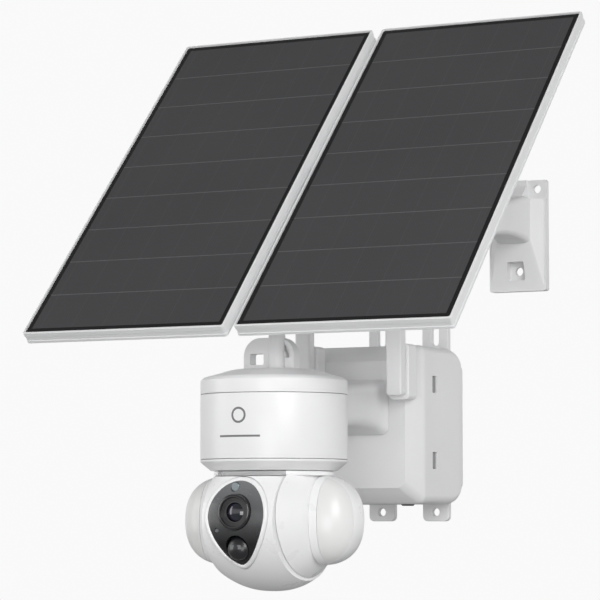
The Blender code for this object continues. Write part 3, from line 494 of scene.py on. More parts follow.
# ---- Battery box -------------------------------------------------------------
FACE_HALF_W = 35.8
FACE_HALF_H = 47.4
BACK_HALF_H = 51.0
SHOULDER_Y = -73.0
TAB_X = 23.0
TAB_HALF_W = 11.0
HOLE_R = 3.1
LATCH_Y = -55.0
LATCH_Z = (30.4, -26.6)
LATCH_HALF_D = 4.0
LATCH_HALF_H = 6.25
SLOT_Z = 71.0
HOLE_Z = -65.0
BUTTON_HOLE = (20.0, 5.3)
INLET_HOLE = (-20.0, 6.3)
ARM_Z = 12.7
CABLE_BORE_R = 7.0


def box_profile(inset, back_y):
    """(y, half width, half height) from the back of the box to its front face."""
    rows = []
    for k in range(9):
        angle = math.pi / 2 * k / 8
        y = back_y - (26.0 + back_y) * (1.0 - math.cos(angle))
        half_h = BACK_HALF_H + (housing_high.z - BACK_HALF_H) * math.sin(angle) - inset
        rows.append((y, housing_high.x - inset, half_h))
    front_y = housing_low.y + inset
    knee_y = SHOULDER_Y + 0.62 * (front_y - SHOULDER_Y)
    slope = [(1.0, -27.0), (1.0, SHOULDER_Y), (0.45, knee_y), (0.0, front_y)]
    for share, y in rounded(slope, 2.2, 5, closed=False)[1:]:
        half_w = FACE_HALF_W + (housing_high.x - FACE_HALF_W) * share - inset
        half_h = FACE_HALF_H + (housing_high.z - FACE_HALF_H) * share - inset
        rows.append((y, half_w, half_h))
    return rows


def box_rings(inset, back_y):
    rings = []
    for y, half_w, half_h in box_profile(inset, back_y):
        corner = max(2.0, 6.5 - inset)
        rings.append([(a, y, b) for a, b in rounded_rectangle(half_w, half_h, corner, 7)])
    return rings


def plate_outline():
    points = []
    for direction, tab_end in ((-1, plate_low.z), (1, plate_high.z)):
        edge = direction * (BACK_HALF_H - 4.0)
        body_x = housing_high.x - 2.0
        points.append((direction * body_x, edge))
        for tab in (1, -1):
            centre = direction * tab * TAB_X
            near, far = centre + direction * TAB_HALF_W, centre - direction * TAB_HALF_W
            points += [(near, edge), (near, tab_end), (far, tab_end), (far, edge)]
        points.append((-direction * body_x, edge))
    return rounded(points, 4.5, 5)


def make_box():
    holes = []
    for x in (-TAB_X, TAB_X):
        holes.append(rod(HOLE_R, -10.0, 5.0, (x, 0.0, HOLE_Z), "Y", 32))
        slot = shifted(rounded_rectangle(HOLE_R, 8.0, 2.9, 5), x, SLOT_Z)
        holes.append(prism(slot, -10.0, 5.0, "Y"))
    make_piece("back_plate", prism(plate_outline(), 0.0, plate_low.y, "Y"), "shell", "wall_unit",
               ("box_back_plate",), holes, bevel=0.7)
    windows = []
    for side in (-1, 1):
        for z in LATCH_Z:
            ends = sorted((side * (housing_high.x - 4.0), side * (housing_high.x + 2.0)))
            outline = shifted(rounded_rectangle(LATCH_HALF_D, LATCH_HALF_H, 0.8, 4), LATCH_Y, z)
            windows.append(prism(outline, *ends, "X"))
    for x, radius in (BUTTON_HOLE, INLET_HOLE):
        windows.append(rod(radius, -62.0, -53.0, (x, -48.0, 0.0), "Z", 40))
    windows.append(rod(CABLE_BORE_R, -90.0, -80.0, (0.0, 0.0, ARM_Z), "Y", 32))
    hollow = loft(box_rings(2.4, housing_high.y - 2.0))
    make_piece("box_shell", loft(box_rings(0.0, housing_high.y)), "shell", "wall_unit",
               ("box_housing",), [hollow] + windows, bevel=0.35, bevel_angle=50.0)


def make_arm():
    """Loft through stations of (y, half width, half height, centre z, corner radius)."""
    stations = [(-85.9, 22.5, 20.5, 12.7, 6.0), (-87.4, 22.4, 20.4, 12.7, 6.0)]
    stations += [(-91.0, 21.0, 18.8, 13.0, 6.0), (-97.0, 19.9, 17.2, 13.4, 6.4)]
    stations += [(-112.0, 18.9, 15.8, 13.5, 7.0), (-135.0, 19.5, 15.2, 12.6, 7.0)]
    stations += [(-160.0, 21.0, 15.0, 11.0, 7.0), (-182.0, 24.0, 15.5, 9.0, 7.0)]
    rings = []
    for y, half_w, half_h, z, corner in smooth_stations(stations, 5):
        rings.append([(a, y, z + b) for a, b in rounded_rectangle(half_w, half_h, corner, 7)])
    cuts = [rod(CAN_R + 0.3, -60.0, 60.0, (0.0, CAN_Y, 0.0), "Z", 128)]
    cuts.append(rod(CABLE_BORE_R, -200.0, -80.0, (0, 0, ARM_Z), "Y"))
    make_piece("arm", loft(rings), "can", "wall_unit", ("camera_arm",), cuts, bevel=0.5,
               bevel_angle=60.0)


# ---- Can ---------------------------------------------------------------------
CAN_WALL = 2.5
LUG_CORNER = 13.0
STUD_AT = (4.5, CAN_Y - 4.0, 0.0)
MARK_Z = 1.0
MARK_R = 5.6
MARK_LINE = 1.5
MARK_SUNK = -0.2
MARK_PROUD = 0.04
BAR_HALF = 16.0
BAR_HALF_H = 0.7
BAR_DROP = 14.5


def make_can():
    axis = (0.0, CAN_Y, 0.0)
    inner = CAN_R - CAN_WALL
    wall = [(inner, can_low.z), (CAN_R, can_low.z), (CAN_R, can_high.z), (inner, can_high.z)]
    make_piece("can_body", lathe(rounded(wall, 0.45, 3), axis, "Z", 160), "can", "wall_unit",
               ("can_shell",), [rod(CABLE_BORE_R, -190.0, -160.0, (0, 0, 8.0), "Y")])
    cap = rounded([(inner, CAP_LOW), (CAN_R, CAP_LOW), (CAN_R, 26.2)], 0.45, 3, closed=False)
    slope = [(CAN_R, 26.4), (49.6, 28.7), (41.0, 31.0), (33.0, 33.4), (26.5, CAP_HIGH), (8.0, CAP_HIGH)]
    cap += rounded(slope, 2.6, 6, closed=False)
    cap += [(0.0, CAP_HIGH), (0.0, CAP_HIGH - 2.6), (26.0, CAP_HIGH - 2.6), (40.0, 28.4), (inner, 25.0)]
    make_piece("can_lid", lathe(cap, axis, "Z", 160), "can", "wall_unit", ("can_cap",))
    foot = [(inner, BASE_HIGH), (CAN_R, BASE_HIGH), (CAN_R, -30.8), (44.5, BASE_LOW), (14.5, BASE_LOW)]
    foot += [(14.5, -33.6), (43.5, -33.6)]
    make_piece("can_foot", lathe(rounded(foot, 0.6, 3), axis, "Z", 160), "can", "wall_unit", ("can_base",))
    make_mark()
    lug_low, lug_high = node_box("top_lug")
    shoulder = lug_high.z - LUG_CORNER
    arch = [(lug_low.x, lug_low.z)]
    for centre_x, start in ((lug_low.x + LUG_CORNER, 180.0), (lug_high.x - LUG_CORNER, 90.0)):
        for k in range(19):
            angle = math.radians(start - 5.0 * k)
            arch.append((centre_x + LUG_CORNER * math.cos(angle), shoulder + LUG_CORNER * math.sin(angle)))
    arch.append((lug_high.x, lug_low.z))
    gap = []
    for radius, turns in ((LUG_CORNER - 3.2, range(13)), (LUG_CORNER - 6.4, reversed(range(13)))):
        for k in turns:
            angle = math.radians(80.0 - 7.5 * k)
            across = lug_high.x - LUG_CORNER + radius * math.cos(angle)
            gap.append((across, shoulder + radius * math.sin(angle)))
    slit = prism(gap, CAN_Y - 20.0, lug_low.y + 5.0, "Y")
    window = prism(shifted(rounded_rectangle(5.5, 4.0, 1.2, 4), -11.5, 42.0), CAN_Y - 20, CAN_Y + 20, "Y")
    make_piece("lug", prism(arch, lug_low.y, lug_high.y, "Y"), "shell", "wall_unit", ("top_lug",),
               [window, slit, rod(6.3, 30.0, 60.0, STUD_AT, "Z", 48)], bevel=0.7,
               bevel_angle=40.0)
    stud_low, stud_high = node_box("top_lug_stud")
    top = stud_high.z
    stud = [(0.0, stud_low.z), (6.0, stud_low.z), (6.0, top - 1.4), (5.7, top - 0.6), (5.0, top - 0.1)]
    stud += [(4.2, top), (3.6, top), (3.4, top - 0.3), (0.0, top - 0.3)]
    make_piece("lug_stud", lathe(stud, STUD_AT, "Z", 64), "shell", "wall_unit",
               ("top_lug_stud",))


def wrap_on_can(points, lift):
    """Lay flat (across, up) points on the can's front, lift millimetres proud of it."""
    laid = []
    for across, up in points:
        angle = across / CAN_R
        radius = CAN_R + lift
        laid.append((radius * math.sin(angle), CAN_Y - radius * math.cos(angle), MARK_Z + up))
    return laid


def make_mark():
    """A plain printed ring with a bar under it, sunk a little into the can's wall."""
    ring = []
    turns = [math.tau * k / 72 for k in range(72)]
    inner = MARK_R - MARK_LINE
    for radius, lift in ((MARK_R, MARK_SUNK), (MARK_R, MARK_PROUD), (inner, MARK_PROUD), (inner, MARK_SUNK)):
        ring.append(wrap_on_can([(radius * math.cos(turn), radius * math.sin(turn)) for turn in turns], lift))
    make_piece("ring_mark", loft(ring, closed=True), "mark", "wall_unit", ())
    bar = []
    for k in range(41):
        across = BAR_HALF * (k / 20 - 1.0)
        edge = [(across, -BAR_HALF_H - BAR_DROP), (across, BAR_HALF_H - BAR_DROP)]
        sunk, proud = wrap_on_can(edge, MARK_SUNK), wrap_on_can(edge, MARK_PROUD)
        bar.append([sunk[0], sunk[1], proud[1], proud[0]])
    make_piece("bar_mark", loft(bar), "mark", "wall_unit", ())


# ---- Head --------------------------------------------------------------------
HEAD_HALF_W = 27.7
NOSE_FRONT = 57.0
NOSE_DROP = 3.0
BARREL_R = 49.5
BARREL_DROP = 7.5
REAR_FLAT = 30.4
SPLIT_Y = 8.0
LENS_Z = 5.6
PIR_Z = -19.0
PIR_X = 2.6
PIR_R = 8.4
PIR_RISE = 4.8
DAY_SENSOR = (-3.0, 23.0)
STATUS_LIGHT = (-14.5, -7.0)
FACE_CENTRE_Z = 2.5


def barrel_size(x):
    share = min(abs(x) / HEAD_HALF_W, 1.0)
    return NOSE_FRONT - NOSE_DROP * share ** 2, BARREL_R - BARREL_DROP * share ** 2.4


def head_section(x, inset):
    """Side outline of the tilting barrel at one X, as (y, z) about the tilt axis."""
    front, radius = barrel_size(x)
    front, radius, flat = front - inset, radius - inset, REAR_FLAT - inset
    points = []
    first = math.acos(flat / radius)
    for k in range(49):
        angle = first + (math.pi - first) * k / 48
        points.append((-front * math.sin(angle), radius * math.cos(angle)))
    last = math.asin(flat / radius)
    for k in range(1, 13):
        angle = last * k / 12
        points.append((radius * math.sin(angle), -radius * math.cos(angle)))
    for k in range(13):
        angle = math.pi / 2 * k / 12
        points.append((flat * math.cos(angle), flat * math.sin(angle)))
    return points


def head_solid(inset):
    half = HEAD_HALF_W - inset
    rings = []
    for k in range(29):
        x = -half * math.cos(math.pi * k / 28)
        rings.append([(x, CAN_Y + y, AXIS_Z + z) for y, z in head_section(x, inset)])
    return loft(rings)


def egg(margin, segments=120):
    """Face outline: round above, narrowing to a soft point below."""
    points = []
    for k in range(segments):
        angle = math.tau * (k + 0.5) / segments
        across, up = math.cos(angle), math.sin(angle)
        half_h, power = (25.6, 2.0) if up > 0.0 else (34.0, 1.55)
        radius = ((abs(across) / 22.6) ** power + (abs(up) / half_h) ** power) ** (-1.0 / power) + margin
        points.append((radius * across, radius * up))
    return points


def nose_y(x, z, lift):
    front, radius = barrel_size(x)
    return CAN_Y - front * math.sqrt(max(0.0, 1.0 - (z / radius) ** 2)) - lift


def face_ring(margin, lift, shrink=1.0):
    ring = []
    for a, b in egg(margin):
        x, z = a * shrink, FACE_CENTRE_Z + b * shrink
        ring.append((x, nose_y(x, z, lift), AXIS_Z + z))
    return ring


def make_head():
    hole = [(a, AXIS_Z + FACE_CENTRE_Z + b) for a, b in egg(2.3)]
    behind = block((-80, CAN_Y + SPLIT_Y, -200), (80, CAN_Y + 100, 50))
    before = block((-80, CAN_Y - 100, -200), (80, CAN_Y + SPLIT_Y + 0.3, 50))
    trunnion_hole = rod(5.4, -40.0, 40.0, (0, CAN_Y, AXIS_Z), "X")
    make_piece("head_front", head_solid(0.0), "head", "camera_head", ("head_front_shell",),
               [head_solid(2.2), prism(hole, CAN_Y - 80, CAN_Y - 15, "Y"), trunnion_hole, behind],
               bevel=0.8, bevel_angle=48.0, smooth_angle=45.0)
    make_piece("head_rear", head_solid(0.0), "head", "camera_head", ("head_rear_shell",),
               [head_solid(2.2), before], bevel=0.8, bevel_angle=48.0, smooth_angle=45.0)


def make_face():
    section = [(2.0, -2.0), (2.0, 0.5), (1.9, 1.1), (1.5, 1.6), (0.9, 1.8), (0.2, 1.65), (-0.4, 1.3)]
    section += [(-0.75, 0.95), (-0.8, 0.68), (0.3, 0.66), (0.3, -2.0)]
    rim = loft([face_ring(margin, lift) for margin, lift in section], closed=True)
    make_piece("face_rim", rim, "head", "camera_head", ("face_bezel",), smooth_angle=60.0)
    shrinks = [k / 10 for k in range(1, 10)]
    rings = [face_ring(0.0, 0.6, shrink) for shrink in shrinks]
    rings += [face_ring(-0.5, 0.6), face_ring(-0.12, 0.45), face_ring(0.0, 0.1), face_ring(0.0, -1.6)]
    rings += [face_ring(0.0, -1.6, shrink) for shrink in reversed(shrinks)]
    holes = [rod(12.6, -300, -250, (0, 0, AXIS_Z + LENS_Z), "Y", 96)]
    holes.append(rod(8.7, -300, -250, (0, 0, AXIS_Z + PIR_Z), "Y", 72))
    for x, z, radius in ((*DAY_SENSOR, 3.3), (*STATUS_LIGHT, 1.8)):
        holes.append(rod(radius, -300, -250, (x, 0, AXIS_Z + z), "Y"))
    make_piece("face_cover", loft(rings), "face", "camera_head", ("face_plate",), holes,
               smooth_angle=50.0)
    front = CAN_Y - NOSE_FRONT
    at = (0.0, 0.0, AXIS_Z + LENS_Z)
    steps = [(12.3, 5.0), (12.3, -1.6), (12.1, -2.0), (11.7, -2.3), (10.9, -2.6), (10.3, -2.5), (9.9, -1.9)]
    steps += [(9.7, -1.2), (9.2, -1.2), (9.0, -0.7), (8.5, -0.7), (8.3, -0.2), (7.8, -0.2), (7.6, 0.2)]
    steps += [(6.7, 0.2), (6.6, 26.0), (9.5, 26.0), (9.5, 5.0)]
    make_piece("lens_ring", lathe(shifted(steps, 0.0, front), at, "Y", 128), "lens_trim", "camera_head",
               ("lens_barrel",))
    glass = [(0.0, front + 3.6), (6.2, front + 3.6), (6.2, front + 1.8)]
    for k in range(11):
        share = 1.0 - k / 10
        glass.append((6.2 * share, front + 1.6 * share ** 2 - 0.2 + 0.1 * (1 - share)))
    make_piece("lens_front", lathe(glass, at, "Y", 96), "lens", "camera_head", ("lens_glass",))
    pir_y = nose_y(0.0, PIR_Z, 0.0)
    dome = [(6.9, pir_y + 6.0), (PIR_R, pir_y + 6.0), (PIR_R, pir_y + 1.6)]
    for k in range(1, 13):
        angle = math.pi / 2 * k / 12
        dome.append((PIR_R * math.cos(angle), pir_y + 1.6 - PIR_RISE * math.sin(angle)))
    for k in range(7):
        angle = math.pi / 2 * (1 - k / 6)
        dome.append((6.9 * math.cos(angle), pir_y + 2.0 - 3.6 * math.sin(angle)))
    make_piece("sensor_dome", lathe(dome, (0, 0, AXIS_Z + PIR_Z), "Y", 96), "dome", "camera_head",
               ("motion_sensor_dome",))
    for side, label in SIDES:
        outline = shifted(rounded_rectangle(1.5, 1.5, 0.4, 4), side * PIR_X, AXIS_Z + PIR_Z + 0.6)
        y = pir_y + 1.6 - PIR_RISE * math.sqrt(1.0 - (PIR_X ** 2 + 0.6 ** 2) / PIR_R ** 2)
        make_piece(f"sensor_window_{label}", prism(outline, y + 0.6, y - 0.12, "Y"), "element", "camera_head",
                   (), bevel=0.15)
    for name, node, material, (x, z), radius in (("day_sensor", "light_sensor", "window", DAY_SENSOR, 3.0),
                                                 ("status_dot", "status_light", "led", STATUS_LIGHT, 1.5)):
        y = nose_y(x, z, 0.0)
        dot = [(0.0, y + 3.0), (radius, y + 3.0), (radius, y - 0.4), (radius - 0.3, y - 0.7), (0.0, y - 0.8)]
        make_piece(name, lathe(dot, (x, 0, AXIS_Z + z), "Y", 48), material, "camera_head", (node,))


# ---- Yoke and lamp pods ------------------------------------------------------
CHEEK_INNER_X = 28.3
CHEEK_OUTER_X = 40.0
BALL_R = 49.0
POD_INNER_X = 40.4
POD_REACH = 27.0
POD_HALF_D = 25.0
POD_HALF_H = 31.0
POD_WALL = 2.0
COVER_INNER_X = 46.5
COVER_BACK_Y = -8.0


def reach_forward(co):
    """Stretch the front half of a cheek towards the nose, most at its inner edge."""
    forward = CAN_Y - co.y
    inward = (CHEEK_OUTER_X - abs(co.x)) / (CHEEK_OUTER_X - CHEEK_INNER_X)
    blend = min(max((forward - 5.5) / 10.0, 0.0), 1.0)
    stretch = 0.25 + 0.0035 * (co.z - AXIS_Z)
    co.y = CAN_Y - forward * (1.0 + blend * stretch * (0.35 + 0.65 * inward))


def make_yoke():
    disc = [(5.0, -40.4), (42.0, -40.4), (42.5, -38.8), (42.0, -37.3), (12.0, -37.3), (12.0, -20.0)]
    disc.append((5.0, -20.0))
    cheeks = []
    for side in (-1, 1):
        radii = [(5.3, CHEEK_INNER_X)]
        for k in range(13):
            x = CHEEK_INNER_X + (CHEEK_OUTER_X - CHEEK_INNER_X) * k / 12
            radii.append((math.sqrt(BALL_R ** 2 - x ** 2), x))
        radii.append((5.3, CHEEK_OUTER_X))
        cheek = lathe([(r, side * x) for r, x in radii], (0, CAN_Y, AXIS_Z), "X", 128)
        for vert in cheek.verts:
            reach_forward(vert.co)
        cut = bmesh.ops.bisect_plane(cheek, geom=cheek.verts[:] + cheek.edges[:] + cheek.faces[:],
                                     plane_co=(0, 0, -39.4), plane_no=(0, 0, 1), clear_outer=True)
        rim = [item for item in cut["geom_cut"] if isinstance(item, bmesh.types.BMEdge)]
        bmesh.ops.holes_fill(cheek, edges=rim, sides=0)
        cheeks.append(cheek)
    notch = block((-27.0, CAN_Y - 60, -41.5), (27.0, CAN_Y - 27, -36.8))
    make_piece("yoke_shell", lathe(disc, (0.0, CAN_Y, 0.0), "Z", 128), "head", "pan_yoke", ("yoke",),
               [notch], cheeks, bevel=0.6, bevel_angle=40.0, smooth_angle=40.0)


def pod_solid(side, inset):
    rings = []
    for k in range(25):
        angle = math.pi / 2 * k / 25
        x = POD_INNER_X + inset + (POD_REACH - 2 * inset) * math.sin(angle)
        shrink = math.cos(angle) ** 0.8
        ring = []
        for step in range(96):
            turn = math.tau * (step + 0.5) / 96
            across, up = math.cos(turn), math.sin(turn)
            y = math.copysign(abs(across) ** 0.8, across) * (POD_HALF_D - inset) * shrink
            z = math.copysign(abs(up) ** 0.9, up) * (POD_HALF_H - inset) * shrink
            ring.append((side * x, CAN_Y + y, AXIS_Z + z))
        rings.append(ring)
    return loft(rings)


def make_pods():
    for side, label in SIDES:
        split_y = CAN_Y + COVER_BACK_Y
        ends = sorted((side * 30.0, side * COVER_INNER_X))
        inner = block((ends[0], CAN_Y - 60, AXIS_Z - 50), (ends[1], CAN_Y + 60, AXIS_Z + 50))
        rear = block((-80, split_y, AXIS_Z - 50), (80, CAN_Y + 60, AXIS_Z + 50))
        make_piece(f"lamp_cover_{label}", pod_solid(side, 0.0), "frost", "pan_yoke",
                   (f"lamp_diffuser_{label}",), [pod_solid(side, POD_WALL), inner, rear],
                   bevel=0.5, bevel_angle=50.0)
        ends = sorted((side * (COVER_INNER_X - 0.3), side * 80.0))
        front = block((ends[0], CAN_Y - 60, AXIS_Z - 50), (ends[1], split_y + 0.3, AXIS_Z + 50))
        make_piece(f"lamp_shell_{label}", pod_solid(side, 0.0), "head", "pan_yoke",
                   (f"lamp_housing_{label}",), [pod_solid(side, POD_WALL), front], bevel=0.5,
                   bevel_angle=50.0)


# ---- Antennas ----------------------------------------------------------------
ANTENNA_PIVOT_Z = 26.4
BLADE_BACK_Y = -100.4


def make_antennas():
    for label in ("left", "right"):
        low, high = node_box(f"antenna_base_{label}")
        x = (low.x + high.x) / 2
        outline = rounded_rectangle((high.x - low.x) / 2, (high.z - low.z) / 2, 3.5, 6)
        outline = shifted(outline, x, (low.z + high.z) / 2)
        bore = rod(3.4, -110.0, -90.0, (x, 0, ANTENNA_PIVOT_Z), "Y")
        make_piece(f"antenna_shoe_{label}", prism(outline, low.y, high.y, "Y"), "antenna", "wall_unit",
                   (f"antenna_base_{label}",), [bore], bevel=1.2, bevel_angle=40.0)
        blade_low, blade_high = node_box(f"antenna_{label}")
        half = (blade_high.x - blade_low.x) / 2
        foot, tip = blade_low.z, blade_high.z
        blade = [(x - half, foot), (x + half, foot), (x + half, tip - 3.6), (x + 3.6, tip), (x - 3.6, tip),
                 (x - half, tip - 3.6)]
        solid = prism(rounded(blade, 2.6, 6), BLADE_BACK_Y, blade_low.y, "Y")
        pin = rod(3.0, BLADE_BACK_Y - 2.0, -91.0, (x, 0, ANTENNA_PIVOT_Z), "Y")
        make_piece(f"antenna_blade_{label}", solid, "antenna", f"{label}_antenna", (f"antenna_{label}",),
                   joins=[pin], bevel=1.5, bevel_angle=50.0)


# ---- Solar panels ------------------------------------------------------------
PANEL_AT = (0.0, -173.7, 182.0)
PANEL_LEAN = 44.0
PANEL_TURN = Matrix.Rotation(math.radians(90.0 - PANEL_LEAN), 4, "X")
PANEL_PLACE = Matrix.Translation(Vector(PANEL_AT) * MM) @ PANEL_TURN
PANEL_HALF_W = 82.3
PANEL_HALF_H = 168.35
PANEL_MIDDLE = 3.9
PANEL_DEPTH = 10.0
LIP = 1.4
LIP_RISE = 0.8
CELL_ROWS = 9
CELL_MARGIN = 3.8
CELL_GAP = 0.9
RAIL_TOP = LIP_RISE - PANEL_DEPTH - 0.3
RAIL_DEPTH = 12.0
RAIL_HALF_H = 14.0
RAIL_HALF_L = 125.0
PIVOT_DEPTH = 38.0


def make_panel(side, label):
    centre_x = side * (PANEL_MIDDLE + PANEL_HALF_W)
    section = [(LIP, LIP_RISE), (0.35, LIP_RISE), (0.0, LIP_RISE - 0.35)]
    bottom = LIP_RISE - PANEL_DEPTH
    section += [(0.0, -2.9), (0.35, -3.3), (0.35, bottom + 2.8), (0.0, bottom + 2.4)]
    section += [(0.0, bottom + 0.4), (0.4, bottom), (LIP, bottom)]
    rings = []
    for inset, z in section:
        outline = rounded_rectangle(PANEL_HALF_W - inset, PANEL_HALF_H - inset, 2.2 - inset / 2, 5)
        rings.append([(centre_x + a, b, z) for a, b in outline])
    make_piece(f"frame_{label}", loft(rings, closed=True), "frame", "panels", (f"panel_frame_{label}",),
               smooth_angle=25.0, place=PANEL_PLACE)
    half_w, half_h = PANEL_HALF_W - LIP - 0.3, PANEL_HALF_H - LIP - 0.3
    sheet = prism([(centre_x + a, b) for a, b in rounded_rectangle(half_w, half_h, 1.2, 4)], -3.2, -0.25, "Z")
    make_piece(f"panel_sheet_{label}", sheet, "margin", "panels", (f"solar_glass_{label}",),
               bevel=0.2, place=PANEL_PLACE)
    cell_half_w = half_w - CELL_MARGIN
    pitch = 2 * (half_h - CELL_MARGIN) / CELL_ROWS
    cells, ribbons = bmesh.new(), bmesh.new()
    for row in range(CELL_ROWS):
        centre_y = (row - (CELL_ROWS - 1) / 2) * pitch
        add_slab(cells, centre_x, centre_y, cell_half_w, (pitch - CELL_GAP) / 2, -0.25, -0.02)
        if row:
            add_slab(ribbons, centre_x, centre_y - pitch / 2, cell_half_w, CELL_GAP / 2, -0.25, -0.1)
    make_piece(f"cell_rows_{label}", cells, "cells", "panels", (), bevel=0.08,
               place=PANEL_PLACE)
    make_piece(f"cell_ribbons_{label}", ribbons, "ribbon", "panels", (), place=PANEL_PLACE)
    back_low, back_high = 1.0 - PANEL_DEPTH, -3.5
    outline = [(centre_x + a, b) for a, b in rounded_rectangle(half_w, half_h, 1.2, 4)]
    recess = [(centre_x + a, b) for a, b in rounded_rectangle(half_w - 9.0, half_h - 9.0, 6.0, 6)]
    make_piece(f"panel_rear_{label}", prism(outline, back_low, back_high, "Z"), "back_sheet", "panels",
               (f"panel_back_{label}",), [prism(recess, back_low - 2.0, back_low + 0.8, "Z")],
               bevel=0.3, place=PANEL_PLACE)


def add_slab(bm, x, y, half_x, half_y, low, high):
    made = bmesh.ops.create_cube(bm, size=1.0)["verts"]
    bmesh.ops.scale(bm, vec=(2 * half_x, 2 * half_y, high - low), verts=made)
    bmesh.ops.translate(bm, vec=(x, y, (high + low) / 2), verts=made)


def make_panels():
    for side, label in SIDES:
        make_panel(side, label)
    bottom = RAIL_TOP - RAIL_DEPTH
    section = [(RAIL_HALF_H, RAIL_TOP), (RAIL_HALF_H, bottom + 2.0), (RAIL_HALF_H - 2.0, bottom)]
    section += [(8.0, bottom), (7.0, bottom + 1.2), (-7.0, bottom + 1.2), (-8.0, bottom)]
    section.append((2.0 - RAIL_HALF_H, bottom))
    section += [(-RAIL_HALF_H, bottom + 2.0), (-RAIL_HALF_H, RAIL_TOP)]
    make_piece("rail", prism(rounded(section, 0.6, 3), -RAIL_HALF_L, RAIL_HALF_L, "X"), "coated", "panels",
               ("cross_rail",), bevel=0.6, bevel_angle=60.0, place=PANEL_PLACE)
    cheek = [(-10.0, bottom - 0.3), (10.0, bottom - 0.3), (10.0, -34.0)]
    for k in range(25):
        angle = math.radians(-30.0 - 120.0 * k / 24)
        cheek.append((11.0 * math.cos(angle), -PIVOT_DEPTH + 11.0 * math.sin(angle)))
    cheek.append((-10.0, -34.0))
    cuts = [block((BRACKET_X - 6.4, -30, -70), (BRACKET_X + 6.4, 30, bottom - 2.5))]
    cuts.append(rod(3.3, BRACKET_X - 20, BRACKET_X + 20, (0, 0, -PIVOT_DEPTH), "X"))
    make_piece("tilt_fork", prism(cheek, BRACKET_X - 13.0, BRACKET_X + 13.0, "X"), "coated", "panels",
               ("tilt_bracket",), cuts, bevel=0.6, bevel_angle=50.0, place=PANEL_PLACE)


# ---- Bracket -----------------------------------------------------------------
BRACKET_X = 93.3
BRACKET_Z = 144.6
BRACKET_HALF_W = 23.2
BRACKET_HALF_H = 42.4
BRACKET_DEPTH = 15.0
SLAB_DEPTH = 6.5
WEB = 3.5
STRUT_Z = 157.0
NECK_Z = STRUT_Z - 26.0
PIVOT_AT = (BRACKET_X, PANEL_AT[1] + PIVOT_DEPTH * math.cos(math.radians(PANEL_LEAN)),
            PANEL_AT[2] - PIVOT_DEPTH * math.sin(math.radians(PANEL_LEAN)))


